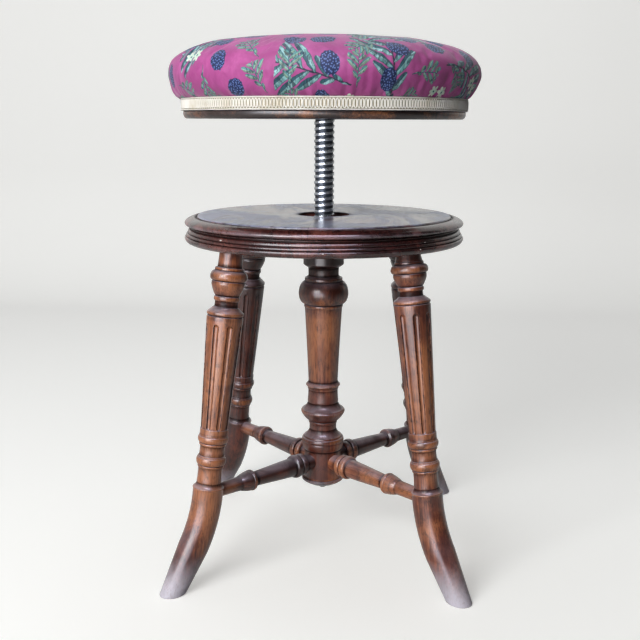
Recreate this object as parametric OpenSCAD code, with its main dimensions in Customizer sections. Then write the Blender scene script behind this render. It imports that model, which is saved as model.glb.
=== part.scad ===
// Revolving piano stool: a round upholstered seat on a steel lead screw, which
// rises from a turned column inside a moulded round platform on four raked,
// fluted legs. Four turned stretchers tie the legs to the foot of the column.

/* [Stand] */
// Height of the platform's underside above the floor
stand_h = 352.4; // [335:0.2:370]
// Height of the ring where the sabre foot begins
foot_h = 104.5; // [98:0.5:110]
// Slope of the legs from the vertical, in degrees
leg_rake = 8; // [6:0.5:10]
// Distance from the stool's axis to a leg's axis, at the platform's underside
leg_circle_r = 127; // [120:0.5:130]

/* [Platform] */
// Diameter over the two round mouldings
platform_d = 305; // [298:1:325]
// Thickness of the board
platform_t = 29; // [27:0.5:34]
// Width of the moulded rim outside the raised panel
rim_w = 13.6; // [11:0.2:16]
// Diameter of the recess round the screw
recess_d = 56; // [54:0.5:62]
// Depth of the recess
recess_depth = 12; // [10:0.5:14]

/* [Column] */
// Radius of the bulb near the column's top
bulb_r = 27.7; // [27:0.1:31]
// Radius of the spigot that enters the platform
spigot_r = 19; // [18:0.1:21]
// Height of the plain block that takes the stretchers
block_h = 34.5; // [32:0.5:38]
// Radius of that block
block_r = 21.4; // [20:0.1:24]
// Radius of the turned cap under the block
cap_r = 24; // [22:0.1:27]
// Depth of the cap's bowl
cap_h = 14; // [12:0.5:17]
// Radius of the cap's spigot
cap_spigot_r = 8; // [6:0.1:9]
// Length of the cap's spigot
cap_spigot_l = 9; // [6:0.5:10]

/* [Legs] */
// Radius of a leg at the top of its fluted shaft
leg_r = 18.9; // [17:0.1:20]
// Radius of a leg at the foot of its fluted shaft
ankle_r = 14.5; // [13:0.1:16]
// Radius of the neck under the platform
neck_r = 12.2; // [11.5:0.1:13.5]
// Length of the neck
neck_l = 18; // [12:0.5:22]
// Length of the vase below the neck
vase_l = 52; // [46:0.5:58]
// Length of the neck of the front right leg, which was turned by another hand
odd_neck_l = 9.5; // [8:0.5:14]
// Length of the vase of the front right leg
odd_vase_l = 45; // [42:0.5:50]
// Length of the two rings and their hollows above the foot
ankle_l = 58; // [52:0.5:64]
// Radius of a leg's tenon
leg_tenon_r = 10; // [9:0.1:11]
// Length of a leg's tenon
leg_tenon_l = 19; // [15:0.5:21]
// Number of flutes round a leg
flute_n = 8; // [6:1:9]
// Radius of the flute cutter at the top
flute_top_r = 3.3; // [2.8:0.1:3.6]
// Radius of the flute cutter at the foot
flute_foot_r = 2.8; // [2.4:0.1:3]
// Depth of the flutes
flute_depth = 2.2; // [1.6:0.1:2.4]

/* [Feet] */
// Radius of the sabre foot where it begins
foot_r = 16; // [15:0.1:17]
// Radius of the foot at the floor
toe_r = 12.4; // [11.5:0.1:14]
// Length of the foot's straight top
foot_neck_l = 6; // [5:0.5:12]
// Radius of the bend along the foot's middle line
foot_bend_r = 140; // [125:1:155]
// Slope of the foot's lower end from the vertical, in degrees
toe_lean = 32; // [29:0.5:35]

/* [Stretchers] */
// Largest radius of a stretcher, over its rings
stretcher_r = 13.2; // [12.5:0.1:14.5]
// Radius of the tenon in the column
inner_tenon_r = 7.5; // [6.5:0.1:8]
// Depth of the tenon in the column
inner_tenon_l = 11; // [8:0.5:12]
// Radius of the end that enters the leg
outer_tenon_r = 7.4; // [6.5:0.1:7.8]
// Depth of the end in the leg
outer_tenon_l = 14; // [10:0.5:18]

/* [Screw] */
// Diameter of the lead screw over its thread
screw_d = 22.2; // [20:0.1:23]
// Gap between the platform and the seat board as the stool stands here
seat_rise = 102.3; // [80:0.1:110]
// How far the seat can still rise from there
up_travel = 50; // [40:0.5:55]
// Gap left between seat and platform when the seat is screwed right down
low_gap = 3.3; // [2:0.1:6]
// Radius of the nut's flange
nut_flange_r = 27; // [25.5:0.1:27.5]
// Thickness of the nut's flange
nut_flange_t = 5; // [4:0.1:6]
// Radius of the nut's barrel
nut_barrel_r = 15; // [14.5:0.1:15.5]
// Length of the nut's barrel below its flange
nut_barrel_l = 36; // [30:0.5:38]

/* [Seat] */
// Largest radius of the seat board, over its round nose
board_r = 151; // [147:0.5:156]
// Thickness of the seat board
board_t = 20; // [18.5:0.5:24]
// Height of the nose left bare under the braid
nose_h = 8.9; // [7:0.1:10]
// Radius of the cast plate let into the board
plate_r = 45; // [40:0.5:55]
// Thickness of the cast plate
plate_t = 4; // [3:0.1:5]
// Radius of the plate's hub
hub_r = 17; // [15:0.1:20]
// Height of the hub above the plate
hub_h = 13; // [10:0.5:14]

/* [Upholstery] */
// Radius of the cushion at its widest
cushion_r = 165.2; // [160:0.2:172]
// Height of the widest part above the top of the braid
cushion_belly_h = 23.2; // [18:0.2:30]
// Height of the crown above the widest part
crown_h = 39.2; // [30:0.2:50]
// Thickness of the cover cloth
cover_t = 0.8; // [0.6:0.1:1.2]
// Height of the braid
braid_h = 12.8; // [11:0.1:15]
// Thickness of the braid
braid_t = 2.3; // [1.6:0.1:3]
// Number of tacks that hold the cover
tack_n = 24; // [12:1:36]

/* [Hidden] */
$fn = 96;

wood = "#5b2c1c";
dark_wood = "#4a2418";
iron = "#3b3c40";
steel = "#8d929b";
cover_pink = "#c2559b";
stuffing = "#cdbb96";
braid_cream = "#e9e3cf";

// Clearances: glued wood, metal running in metal, pieces that only lie together
glue_gap = 0.1;
fit_gap = 0.06;
lay_gap = 0.3;
// Overrun of cutting tools past a face
over = 2;
// Steps of each swelling or hollow in a turned outline, and of each quarter circle
curve_steps = 8;
quarter_steps = 6;

// Heights on the stool's axis
stretcher_share = 0.62;
foot_ring_share = 0.4;
stretcher_z = foot_h - foot_ring_share * foot_r;
block_z = stretcher_z - stretcher_share * block_h;
block_top = block_z + block_h;
platform_top = stand_h + platform_t;
recess_floor = platform_top - recess_depth;
seat_z = platform_top + seat_rise;
board_top = seat_z + board_t;
nut_bottom = recess_floor - nut_barrel_l;

// Lead screw, stop washer and the bore that they run in
screw_r = screw_d / 2;
screw_chamfer = 1.2;
hub_top = seat_z + plate_t + hub_h;
washer_t = 3;
washer_lip = 1.3;
washer_r = screw_r + washer_lip;
washer_play = 0.3;
stop_gap = 0.5;
washer_top = nut_bottom - up_travel - stop_gap;
washer_z = washer_top - washer_t;
screw_end = washer_top + washer_play;
stop_head_r = 6;
stop_head_h = 4;
stop_neck_r = 3;
stop_thread_r = 2.5;
stop_thread_l = 12;
stop_head_top = washer_z - washer_play;
bore_gap = 0.4;
bore_r = washer_r + bore_gap;
down_travel = seat_rise - low_gap;
bore_spare = 6;
bore_z = stop_head_top - stop_head_h - down_travel - bore_spare;
pin_r = 2;
pin_share = 0.5;
pin_z = seat_z + plate_t + pin_share * hub_h;

// Wood screws
wood_screw_head_r = 3.4;
wood_screw_head_h = 2.6;
wood_screw_r = 1.7;
wood_screw_l = 12;
nut_screw_n = 3;
nut_screw_circle = (spigot_r + nut_flange_r) / 2;
plate_screw_n = 4;
plate_screw_share = 0.77;
plate_screw_circle = plate_screw_share * plate_r;
plate_screw_turn = 45;

// Seat and upholstery
rebate_r = board_r - cover_t - 2 * glue_gap;
nose_z = seat_z + nose_h;
nose_round = 4;
nose_heel = 1.6;
braid_lap = 0.9;
braid_z = nose_z - braid_lap;
braid_top = braid_z + braid_h;
skirt_r = rebate_r + lay_gap;
skirt_bottom = nose_z + lay_gap;
belly_z = braid_top + cushion_belly_h;
cushion_top = belly_z + crown_h;
crown_power = 3.5;
crown_fall = 0.41;
belly_power = 1.44;
crown_steps = 18;
belly_steps = 8;
pad_gap = 0.2;
pad_inset = 1.5;
tack_head_r = 2.5;
tack_head_t = 0.35;
tack_r = 0.7;
tack_l = 9;
tack_share = 0.5;
tack_z = braid_z + tack_share * braid_h;
braid_r = skirt_r + cover_t + tack_head_t + glue_gap;

// Platform mouldings
panel_lip = 1.5;
panel_round = 1.2;
quirk_w = 0.9;
quirk_depth = 2.8;

// Leg frame: the leg's own axis, with zero at the foot's ring and up to the platform
leg_l = (stand_h - foot_h) / cos(leg_rake);
foot_ring_r = leg_circle_r + (stand_h - foot_h) * tan(leg_rake);
neck_spare = neck_r * tan(leg_rake) + over;
foot_fillet = 0.3;
// The bend and the toe are each this much slimmer than what they grow out of
foot_step = 0.05;
foot_lap = 2;
foot_lap_angle = 1;
bend_x = foot_ring_r + foot_neck_l * sin(leg_rake);
bend_z = foot_h - foot_neck_l * cos(leg_rake);
toe_x = bend_x + foot_bend_r * (cos(leg_rake) - cos(toe_lean));
toe_z = bend_z - foot_bend_r * (sin(toe_lean) - sin(leg_rake));
toe_l = toe_z / cos(toe_lean);
toe_spare = foot_r * tan(toe_lean) + over;
toe_slope = (foot_r - toe_r) / toe_l;
stretcher_x = foot_ring_r + (foot_h - stretcher_z) * tan(leg_rake);
stretcher_reach = stretcher_x - foot_r / cos(leg_rake);
stretcher_end = stretcher_reach + outer_tenon_l;
flute_plain_top_share = 0.05;
flute_plain_foot_share = 0.045;
neck_hollow_share = 0.03;
neck_flare_share = 1.05;
odd_neck_flare_share = 1.17;

// Where the legs and their stretchers stand round the axis
front_left_angle = -135;
front_right_angle = -45;
back_left_angle = 135;
back_right_angle = 45;
leg_angles = [front_left_angle, front_right_angle, back_left_angle, back_right_angle];
// How far each leg, flutes and all, is turned about its own axis
front_left_turn_angle = 27;
front_right_turn_angle = 7;
back_left_turn_angle = 0;
back_right_turn_angle = 10;

// Turned outlines: share of the largest radius, share of the length from the
// top down, and the swelling (or, below zero, the hollow) on the way to the
// next row as a share of the largest radius.

vase_shares = [
    [0.700, 0.000, 0], [0.790, 0.004, 0], [0.795, 0.064, 0], [0.830, 0.070, 0.155],
    [0.885, 0.262, 0], [0.856, 0.270, 0], [0.912, 0.279, 0], [0.900, 0.311, 0.055],
    [0.657, 0.553, 0], [0.640, 0.565, 0], [0.680, 0.574, 0.028], [0.680, 0.655, 0],
    [0.640, 0.663, -0.012], [0.640, 0.782, 0], [0.740, 0.792, 0], [0.760, 0.808, -0.010],
    [0.950, 0.864, 0], [0.935, 0.868, 0], [0.955, 0.872, 0.052], [0.960, 0.946, 0],
    [0.932, 0.953, 0], [0.932, 0.963, 0], [0.990, 0.969, 0], [1.000, 0.996, 0]];

ankle_shares = [
    [1.000, 0.000, 0], [1.030, 0.014, 0], [1.010, 0.030, 0.105], [0.975, 0.152, 0],
    [0.937, 0.160, 0], [0.980, 0.167, 0], [0.980, 0.198, 0], [0.905, 0.203, -0.035],
    [0.925, 0.395, 0], [0.978, 0.399, 0], [0.978, 0.408, 0], [0.955, 0.414, 0.130],
    [0.925, 0.560, 0], [0.887, 0.566, 0], [0.944, 0.573, 0], [0.944, 0.600, 0],
    [0.880, 0.605, -0.020], [0.900, 0.880, -0.060], [1.075, 0.972, 0], [1.125, 0.976, 0],
    [1.145, 0.998, 0]];

column_shares = [
    [0.816, 0.000, 0], [0.816, 0.106, 0.035], [0.625, 0.123, -0.010], [0.620, 0.164, 0],
    [0.665, 0.166, 0], [0.670, 0.170, 0], [0.752, 0.171, 0.012], [0.752, 0.186, 0],
    [0.735, 0.188, 0.255], [0.770, 0.293, 0], [0.745, 0.295, 0], [0.790, 0.297, 0],
    [0.788, 0.308, 0], [0.765, 0.309, -0.010], [0.605, 0.663, -0.030], [0.705, 0.681, 0],
    [0.712, 0.685, 0], [0.645, 0.692, 0], [0.635, 0.694, 0], [0.632, 0.704, 0],
    [0.608, 0.705, -0.008], [0.640, 0.765, -0.065], [0.835, 0.801, 0], [0.868, 0.802, 0],
    [0.890, 0.808, 0.075], [0.590, 0.858, 0], [0.568, 0.860, 0], [0.592, 0.862, 0],
    [0.588, 0.871, 0], [0.560, 0.872, -0.004], [0.562, 0.895, -0.055], [0.752, 0.932, 0],
    [0.780, 0.933, 0], [0.790, 0.941, 0], [0.845, 0.942, 0.010], [0.868, 0.958, 0],
    [0.842, 0.962, 0.033], [0.806, 0.997, 0], [0.765, 1.000, 0]];

cap_shares = [
    [0.980, 0.000, 0], [1.000, 0.110, 0.095], [0.400, 0.690, 0], [0.275, 0.700, 0],
    [0.245, 0.790, 0.030], [0.090, 0.990, 0]];

stretcher_shares = [
    [0.700, 0.000, 0], [0.700, 0.070, 0], [0.850, 0.078, 0.100], [0.850, 0.130, 0],
    [0.780, 0.136, 0], [0.900, 0.142, 0.100], [0.900, 0.196, 0], [0.800, 0.206, 0],
    [0.800, 0.218, 0.010], [0.590, 0.640, -0.020], [0.850, 0.662, 0], [0.870, 0.672, 0],
    [0.870, 0.684, 0], [0.800, 0.690, 0], [0.820, 0.700, 0.045], [0.590, 0.800, 0]];

platform_shares = [
    [0.060, 0.055, 0.640], [0.566, 0.369, 0], [0.551, 0.397, 0], [0.640, 0.402, 0],
    [0.647, 0.426, 0], [0.566, 0.434, 0], [0.559, 0.476, 0], [0.618, 0.486, 0.075],
    [0.721, 0.617, 0], [0.713, 0.628, 0], [0.780, 0.638, 0.075], [0.850, 0.735, 0],
    [0.831, 0.748, 0], [0.890, 0.759, 0.205], [0.680, 0.990, 0], [0.600, 1.000, 0]];

// A point between p and q
function between(p, q, t) = p + (q - p) * t;

// Points from p up to, but not with, q, that swell outward by s half way
function swelling(p, q, s) =
    [for (i = [0:curve_steps - 1])
        let (a = 180 * i / curve_steps)
        between(p, q, (1 - cos(a)) / 2) + [s * sin(a), 0]];

// Outline of a turned piece of radius r that runs down from height top by l
function turned(rows, r, l, top) =
    [for (i = [0:len(rows) - 1])
        let (p = [rows[i][0] * r, top - rows[i][1] * l])
        each (rows[i][2] == 0 || i == len(rows) - 1
            ? [p]
            : swelling(p, [rows[i + 1][0] * r, top - rows[i + 1][1] * l], rows[i][2] * r))];

// The cushion's outline from the braid's top up to the crown, drawn in by g
function cushion_side(g) =
    concat(
        [for (i = [0:belly_steps - 1])
            let (w = i / belly_steps)
            let (out = pow(1 - pow(1 - w, belly_power), 1 / belly_power))
            [skirt_r + cover_t - g + (cushion_r - skirt_r - cover_t) * out, braid_top + cushion_belly_h * w]],
        [for (i = [0:crown_steps])
            let (t = cos(90 * i / crown_steps))
            [(cushion_r - g) * t, belly_z + (crown_h - g) * pow(1 - pow(t, crown_power), crown_fall)]]);

// Quarter circle of radius r about the point at height z, from angle a up to, but not with, its end
function quarter(r, z, a) =
    [for (i = [0:quarter_steps - 1])
        let (b = a + 90 * i / quarter_steps)
        [r * cos(b), z + r * sin(b)]];

// Places things n times round the stool's axis
module round_about(n, turn = 0) {
    for (i = [0:n - 1]) rotate([0, 0, turn + 360 * i / n]) children();
}

// A bore or rod along the axis from z to z + h
module rod(r, z, h) {
    translate([0, 0, z]) cylinder(r = r, h = h);
}

// Countersunk wood screw with its head's flat at zero and its shank upward
module wood_screw(gap = 0) {
    cylinder(r1 = wood_screw_head_r + gap, r2 = wood_screw_r + gap, h = wood_screw_head_h);
    cylinder(r = wood_screw_r + gap, h = wood_screw_l + gap);
}

module at_nut_screws() {
    round_about(nut_screw_n)
        translate([nut_screw_circle, 0, recess_floor + nut_flange_t])
            rotate([180, 0, 0]) children();
}

module at_plate_screws() {
    round_about(plate_screw_n, plate_screw_turn)
        translate([plate_screw_circle, 0, seat_z]) children();
}

module at_tacks() {
    round_about(tack_n)
        translate([skirt_r + cover_t, 0, tack_z])
            rotate([0, -90, 0]) children();
}

// Places a leg's own axis at azimuth a
module at_leg(a) {
    rotate([0, 0, a]) translate([foot_ring_r, 0, foot_h]) rotate([0, -leg_rake, 0]) children();
}

module platform() {
    rim_r = platform_d / 2;
    panel_r = rim_r - rim_w;
    rim_rows = [for (row = platform_shares)
        [panel_r + row[0] * rim_w, platform_top - row[1] * platform_t, row[2] * rim_w]];
    rim = [for (i = [0:len(rim_rows) - 1])
        let (p = [rim_rows[i][0], rim_rows[i][1]])
        each (rim_rows[i][2] == 0
            ? [p]
            : swelling(p, [rim_rows[i + 1][0], rim_rows[i + 1][1]], rim_rows[i][2]))];
    panel = [[0, platform_top], [panel_r - panel_round, platform_top],
        [panel_r, platform_top - panel_round], [panel_r, platform_top - quirk_depth],
        [panel_r + quirk_w, platform_top - quirk_depth]];
    color(wood) difference() {
        rotate_extrude() polygon(concat(panel, rim, [[0, stand_h]]));
        rod(recess_d / 2, recess_floor, recess_depth + over);
        rod(spigot_r + glue_gap, stand_h - over, platform_t);
        for (a = leg_angles) at_leg(a) rod(leg_tenon_r + glue_gap, leg_l - neck_spare, neck_spare + leg_tenon_l);
        at_nut_screws() cylinder(r = wood_screw_r + glue_gap, h = wood_screw_l + glue_gap);
    }
}

module column() {
    outline = turned(column_shares, bulb_r, stand_h - block_top, stand_h);
    color(wood) difference() {
        union() {
            rotate_extrude() polygon(concat([[0, stand_h]], outline,
                [[block_r, block_top], [block_r, block_z], [0, block_z]]));
            rod(spigot_r, stand_h - over, recess_floor - stand_h + over);
        }
        rod(nut_barrel_r + glue_gap, nut_bottom - lay_gap, nut_barrel_l + over);
        rod(bore_r, bore_z, nut_bottom - bore_z);
        rod(cap_spigot_r + glue_gap, block_z - over, cap_spigot_l + lay_gap + over);
        for (a = leg_angles) rotate([0, 0, a]) translate([block_r - inner_tenon_l, 0, stretcher_z])
            rotate([0, 90, 0]) cylinder(r = inner_tenon_r + glue_gap, h = inner_tenon_l + over);
    }
}

module column_cap() {
    outline = turned(cap_shares, cap_r, cap_h, block_z);
    color(dark_wood) union() {
        rotate_extrude() polygon(concat([[0, block_z]], outline, [[0, block_z - cap_h]]));
        rod(cap_spigot_r, block_z - over, cap_spigot_l + over);
    }
}

// The turned part of a leg, with its axis upright and the foot's ring at zero
module leg_turning(neck, flare, vase) {
    vase_top = leg_l - neck;
    neck_rows = [[1, 0, -neck_hollow_share], [flare, 1, 0]];
    color(wood) rotate_extrude() polygon(concat(
        [[0, leg_l + neck_spare], [neck_r, leg_l + neck_spare]],
        turned(neck_rows, neck_r, neck, leg_l),
        turned(vase_shares, leg_r, vase, vase_top),
        turned(ankle_shares, ankle_r, ankle_l, ankle_l),
        [[foot_r, -foot_fillet], [foot_r, -foot_neck_l], [0, -foot_neck_l]]));
}

// Round-ended flutes round the shaft, cut by a slightly tapered tool
module flutes(neck, vase, turn) {
    shaft_top = leg_l - neck - vase;
    shaft_l = shaft_top - ankle_l;
    top = shaft_top - flute_plain_top_share * shaft_l - flute_top_r;
    foot = ankle_l + flute_plain_foot_share * shaft_l + flute_foot_r;
    top_x = ankle_r + (leg_r - ankle_r) * (top - ankle_l) / shaft_l + flute_top_r - flute_depth;
    foot_x = ankle_r + (leg_r - ankle_r) * (foot - ankle_l) / shaft_l + flute_foot_r - flute_depth;
    flute_l = norm([top_x - foot_x, top - foot]);
    tool = concat(
        quarter(flute_foot_r, 0, -90), [[flute_foot_r, 0]],
        quarter(flute_top_r, flute_l, 0), [[0, flute_l + flute_top_r]]);
    round_about(flute_n, turn) translate([foot_x, 0, foot])
        rotate([0, atan2(top_x - foot_x, top - foot), 0]) rotate_extrude() polygon(tool);
}

// The sabre foot below its straight top: a bent round stem and a tapered toe
module sabre_foot() {
    translate([bend_x + foot_bend_r * cos(leg_rake), 0, bend_z + foot_bend_r * sin(leg_rake)])
        rotate([90, 0, 0]) rotate([0, 0, 180 + leg_rake - foot_lap_angle])
            rotate_extrude(angle = toe_lean - leg_rake + foot_lap_angle)
                translate([foot_bend_r, 0]) circle(r = foot_r - foot_step);
    translate([toe_x, 0, toe_z]) rotate([0, 180 - toe_lean, 0]) translate([0, 0, -foot_lap])
        cylinder(r1 = foot_r - 2 * foot_step, r2 = toe_r - toe_slope * toe_spare, h = toe_l + toe_spare + foot_lap);
}

module leg(a, neck, flare, vase, turn) {
    floor_w = foot_ring_r * 2;
    color(wood) difference() {
        union() {
            at_leg(a) difference() {
                leg_turning(neck, flare, vase);
                flutes(neck, vase, turn);
            }
            rotate([0, 0, a]) sabre_foot();
        }
        rod(floor_w, stand_h, platform_t + over);
        rod(floor_w, -platform_t, platform_t);
        rotate([0, 0, a]) translate([0, 0, stretcher_z]) rotate([0, 90, 0])
            cylinder(r = outer_tenon_r + glue_gap, h = stretcher_end + lay_gap);
    }
    color(wood) intersection() {
        at_leg(a) rod(leg_tenon_r, leg_l - neck_spare, neck_spare + leg_tenon_l - lay_gap);
        rod(floor_w, stand_h - over, platform_t + over);
    }
}

module stretcher(a) {
    length = stretcher_reach - block_r;
    outline = turned(stretcher_shares, stretcher_r, length, length);
    color(wood) rotate([0, 0, a]) difference() {
        translate([0, 0, stretcher_z]) rotate([0, 90, 0]) union() {
            translate([0, 0, block_r]) mirror([0, 0, 1]) translate([0, 0, -length])
                rotate_extrude() polygon(concat([[0, length], [outline[0][0], length + over]], outline,
                    [[outer_tenon_r, 0], [0, 0]]));
            rod(outer_tenon_r, stretcher_reach - over, outer_tenon_l + over);
        }
        rod(block_r + glue_gap, block_z, block_h);
    }
    color(wood) rotate([0, 0, a]) translate([0, 0, stretcher_z]) rotate([0, 90, 0])
        rod(inner_tenon_r, block_r - inner_tenon_l + lay_gap, inner_tenon_l + over);
}

module screw_nut() {
    color(iron) difference() {
        union() {
            rod(nut_flange_r, recess_floor, nut_flange_t);
            rod(nut_barrel_r, nut_bottom, nut_barrel_l + nut_flange_t);
        }
        rod(screw_r + fit_gap, nut_bottom - over, nut_barrel_l + nut_flange_t + 2 * over);
        at_nut_screws() wood_screw(fit_gap);
    }
}

module nut_screws() {
    color(steel) at_nut_screws() wood_screw();
}

module lead_screw() {
    color(steel) difference() {
        rotate_extrude() polygon([[0, screw_end], [screw_r - screw_chamfer, screw_end],
            [screw_r, screw_end + screw_chamfer], [screw_r, hub_top], [0, hub_top]]);
        rod(stop_thread_r + fit_gap, screw_end - over, stop_thread_l + lay_gap + over);
        translate([0, 0, pin_z]) rotate([90, 0, 0])
            cylinder(r = pin_r + fit_gap, h = 2 * hub_r, center = true);
    }
}

module stop_washer() {
    color(iron) difference() {
        rod(washer_r, washer_z, washer_t);
        rod(stop_neck_r + fit_gap, washer_z - over, washer_t + 2 * over);
    }
}

module stop_screw() {
    color(steel) union() {
        rod(stop_head_r, stop_head_top - stop_head_h, stop_head_h);
        rod(stop_neck_r, stop_head_top - stop_head_h, screw_end - stop_head_top + stop_head_h);
        rod(stop_thread_r, stop_head_top, screw_end - stop_head_top + stop_thread_l);
    }
}

module seat_plate() {
    color(iron) difference() {
        union() {
            rod(plate_r, seat_z, plate_t);
            rod(hub_r, seat_z, plate_t + hub_h);
        }
        rod(screw_r + fit_gap, seat_z - over, plate_t + hub_h + 2 * over);
        at_plate_screws() wood_screw(fit_gap);
        translate([0, 0, pin_z]) rotate([90, 0, 0])
            cylinder(r = pin_r + fit_gap, h = 2 * (hub_r + over), center = true);
    }
}

module plate_screws() {
    color(steel) at_plate_screws() wood_screw();
}

module hub_pin() {
    color(steel) translate([0, 0, pin_z]) rotate([90, 0, 0])
        cylinder(r = pin_r, h = 2 * hub_r, center = true);
}

module seat_board() {
    nose_low = [board_r - nose_round, seat_z];
    nose_high = [rebate_r - nose_heel, nose_z];
    nose_swell = board_r - (nose_low[0] + nose_high[0]) / 2;
    color(dark_wood) difference() {
        rotate_extrude() polygon(concat([[0, seat_z]], swelling(nose_low, nose_high, nose_swell),
            [nose_high, [rebate_r, nose_z], [rebate_r, board_top], [0, board_top]]));
        rod(plate_r + lay_gap, seat_z - over, plate_t + over);
        rod(hub_r + lay_gap, seat_z, plate_t + hub_h + lay_gap);
        at_plate_screws() cylinder(r = wood_screw_r + glue_gap, h = wood_screw_l + glue_gap);
        at_tacks() cylinder(r = tack_r + glue_gap, h = tack_l + lay_gap);
    }
}

module seat_pad() {
    g = cover_t + pad_gap;
    color(stuffing) rotate_extrude() polygon(concat(
        [[0, board_top], [rebate_r - pad_inset, board_top]], cushion_side(g)));
}

module seat_cover() {
    outer = cushion_side(0);
    inner = cushion_side(cover_t);
    last = len(inner) - 1;
    color(cover_pink) difference() {
        rotate_extrude() polygon(concat(
            [[skirt_r, skirt_bottom], [skirt_r + cover_t, skirt_bottom]], outer,
            [for (i = [last:-1:0]) inner[i]]));
        at_tacks() translate([0, 0, -over]) cylinder(r = tack_r + glue_gap, h = tack_l + over);
    }
}

module gimp_braid() {
    braid_swell_share = 0.25;
    color(braid_cream) rotate_extrude() polygon(concat(
        [[braid_r, braid_top], [braid_r, braid_z]],
        swelling([braid_r + (1 - braid_swell_share) * braid_t, braid_z],
            [braid_r + (1 - braid_swell_share) * braid_t, braid_top], braid_swell_share * braid_t),
        [[braid_r + (1 - braid_swell_share) * braid_t, braid_top]]));
}

module cover_tacks() {
    color(steel) at_tacks() {
        translate([0, 0, -tack_head_t]) cylinder(r = tack_head_r, h = tack_head_t);
        cylinder(r = tack_r, h = tack_l);
    }
}

platform();
column();
column_cap();
leg(front_left_angle, neck_l, neck_flare_share, vase_l, front_left_turn_angle);  // leg_front_left
leg(front_right_angle, odd_neck_l, odd_neck_flare_share, odd_vase_l, front_right_turn_angle);  // leg_front_right
leg(back_left_angle, neck_l, neck_flare_share, vase_l, back_left_turn_angle);  // leg_back_left
leg(back_right_angle, neck_l, neck_flare_share, vase_l, back_right_turn_angle);  // leg_back_right
stretcher(front_left_angle);  // stretcher_front_left
stretcher(front_right_angle);  // stretcher_front_right
stretcher(back_left_angle);  // stretcher_back_left
stretcher(back_right_angle);  // stretcher_back_right
screw_nut();
nut_screws();
lead_screw();
stop_washer();
stop_screw();
seat_plate();
plate_screws();
hub_pin();
seat_board();
seat_pad();
seat_cover();
gimp_braid();
cover_tacks();
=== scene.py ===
# %% [markdown]
# # Dressing a revolving piano stool
# The stool comes out of its CAD model as separate pieces that already fit and move. This lesson gives them
# what a photograph shows and a machine model doesn't: polished and worn wood, a cut screw thread, a
# stuffed seat under printed cotton, and the looped braid round its edge. Turned pieces are turned again
# from the outlines of their CAD solids, so each new surface stands exactly where the solid stands.

# %% Load the frame
import math

import bpy
from mathutils import Matrix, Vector
import numpy as np


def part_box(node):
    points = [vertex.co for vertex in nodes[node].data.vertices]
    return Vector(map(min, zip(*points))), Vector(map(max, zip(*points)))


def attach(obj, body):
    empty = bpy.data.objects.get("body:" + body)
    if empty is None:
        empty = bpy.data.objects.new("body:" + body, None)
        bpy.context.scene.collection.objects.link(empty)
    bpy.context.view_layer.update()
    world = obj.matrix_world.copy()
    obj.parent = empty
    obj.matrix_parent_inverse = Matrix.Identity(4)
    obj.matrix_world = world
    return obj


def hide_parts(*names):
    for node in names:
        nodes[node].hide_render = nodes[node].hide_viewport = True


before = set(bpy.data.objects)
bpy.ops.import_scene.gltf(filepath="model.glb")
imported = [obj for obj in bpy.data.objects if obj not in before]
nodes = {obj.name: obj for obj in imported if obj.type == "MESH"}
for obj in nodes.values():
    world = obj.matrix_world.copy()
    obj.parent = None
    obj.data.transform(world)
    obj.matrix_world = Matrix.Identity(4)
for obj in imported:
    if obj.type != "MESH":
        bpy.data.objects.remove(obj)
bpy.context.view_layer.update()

MM = 0.001
TURN = 2 * math.pi

# %% [markdown]
# ## Camera, stage and light
# The camera stands a little over a metre in front of the stool, at seat height, and looks down by twelve
# degrees. Its place and lens come from matching circles of known size in the picture: the seat board, the
# platform's mouldings and the feet.

# %% Stand the camera
CAMERA_DISTANCE = 1.0444
CAMERA_HEIGHT = 0.4813
CAMERA_AZIMUTH = math.radians(2.87)
LOOK_DOWN = math.radians(11.86)
LOOK_ASIDE = math.radians(-0.21)
CAMERA_ROLL = math.radians(0.25)
LENS_MM = 53.18


def camera_matrix():
    """Columns are the camera's right, up and backward directions and its place.

    Forward is turned by the heading about +Z and then tipped down; right is level; up is right x forward;
    the roll turns right and up about forward."""
    heading = LOOK_ASIDE - CAMERA_AZIMUTH
    forward = np.array([math.sin(heading) * math.cos(LOOK_DOWN), math.cos(heading) * math.cos(LOOK_DOWN),
                        -math.sin(LOOK_DOWN)])
    right = np.array([math.cos(heading), -math.sin(heading), 0.0])
    up = np.cross(right, forward)
    rolled = math.cos(CAMERA_ROLL) * right + math.sin(CAMERA_ROLL) * up
    upright = -math.sin(CAMERA_ROLL) * right + math.cos(CAMERA_ROLL) * up
    matrix = np.eye(4)
    matrix[:3, 0], matrix[:3, 1], matrix[:3, 2] = rolled, upright, -forward
    matrix[:3, 3] = (CAMERA_DISTANCE * math.sin(CAMERA_AZIMUTH), -CAMERA_DISTANCE * math.cos(CAMERA_AZIMUTH),
                     CAMERA_HEIGHT)
    return matrix


def add_object(name, data):
    """A new object that shows the data, linked into the scene."""
    obj = bpy.data.objects.new(name, data)
    bpy.context.scene.collection.objects.link(obj)
    return obj


def place(obj, matrix):
    """Gives an object a 4 x 4 numpy matrix as its place."""
    obj.matrix_world = Matrix(matrix.tolist())


camera = add_object("camera", bpy.data.cameras.new("camera"))
camera.data.lens = LENS_MM
camera.data.sensor_width = 36
camera.data.sensor_fit = "HORIZONTAL"
place(camera, camera_matrix())
bpy.context.scene.camera = camera
bpy.context.scene.view_settings.view_transform = "Standard"
print("camera at", [round(v, 3) for v in camera.location])

# %% [markdown]
# ## A surface from a grid of points
# Every new piece below is a grid of points, row after row round a closed loop, worked out as one numpy
# array. One helper turns such a grid into a mesh, closes its ends with a fan of triangles, and can store
# extra numbers on the points, such as how far along the grain a point lies.

# %% Make meshes from grids
NO_TRIANGLES = np.zeros((0, 3), int)


def circle(count):
    """Evenly spaced angles of one turn."""
    return np.arange(count) * TURN / count


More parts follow.
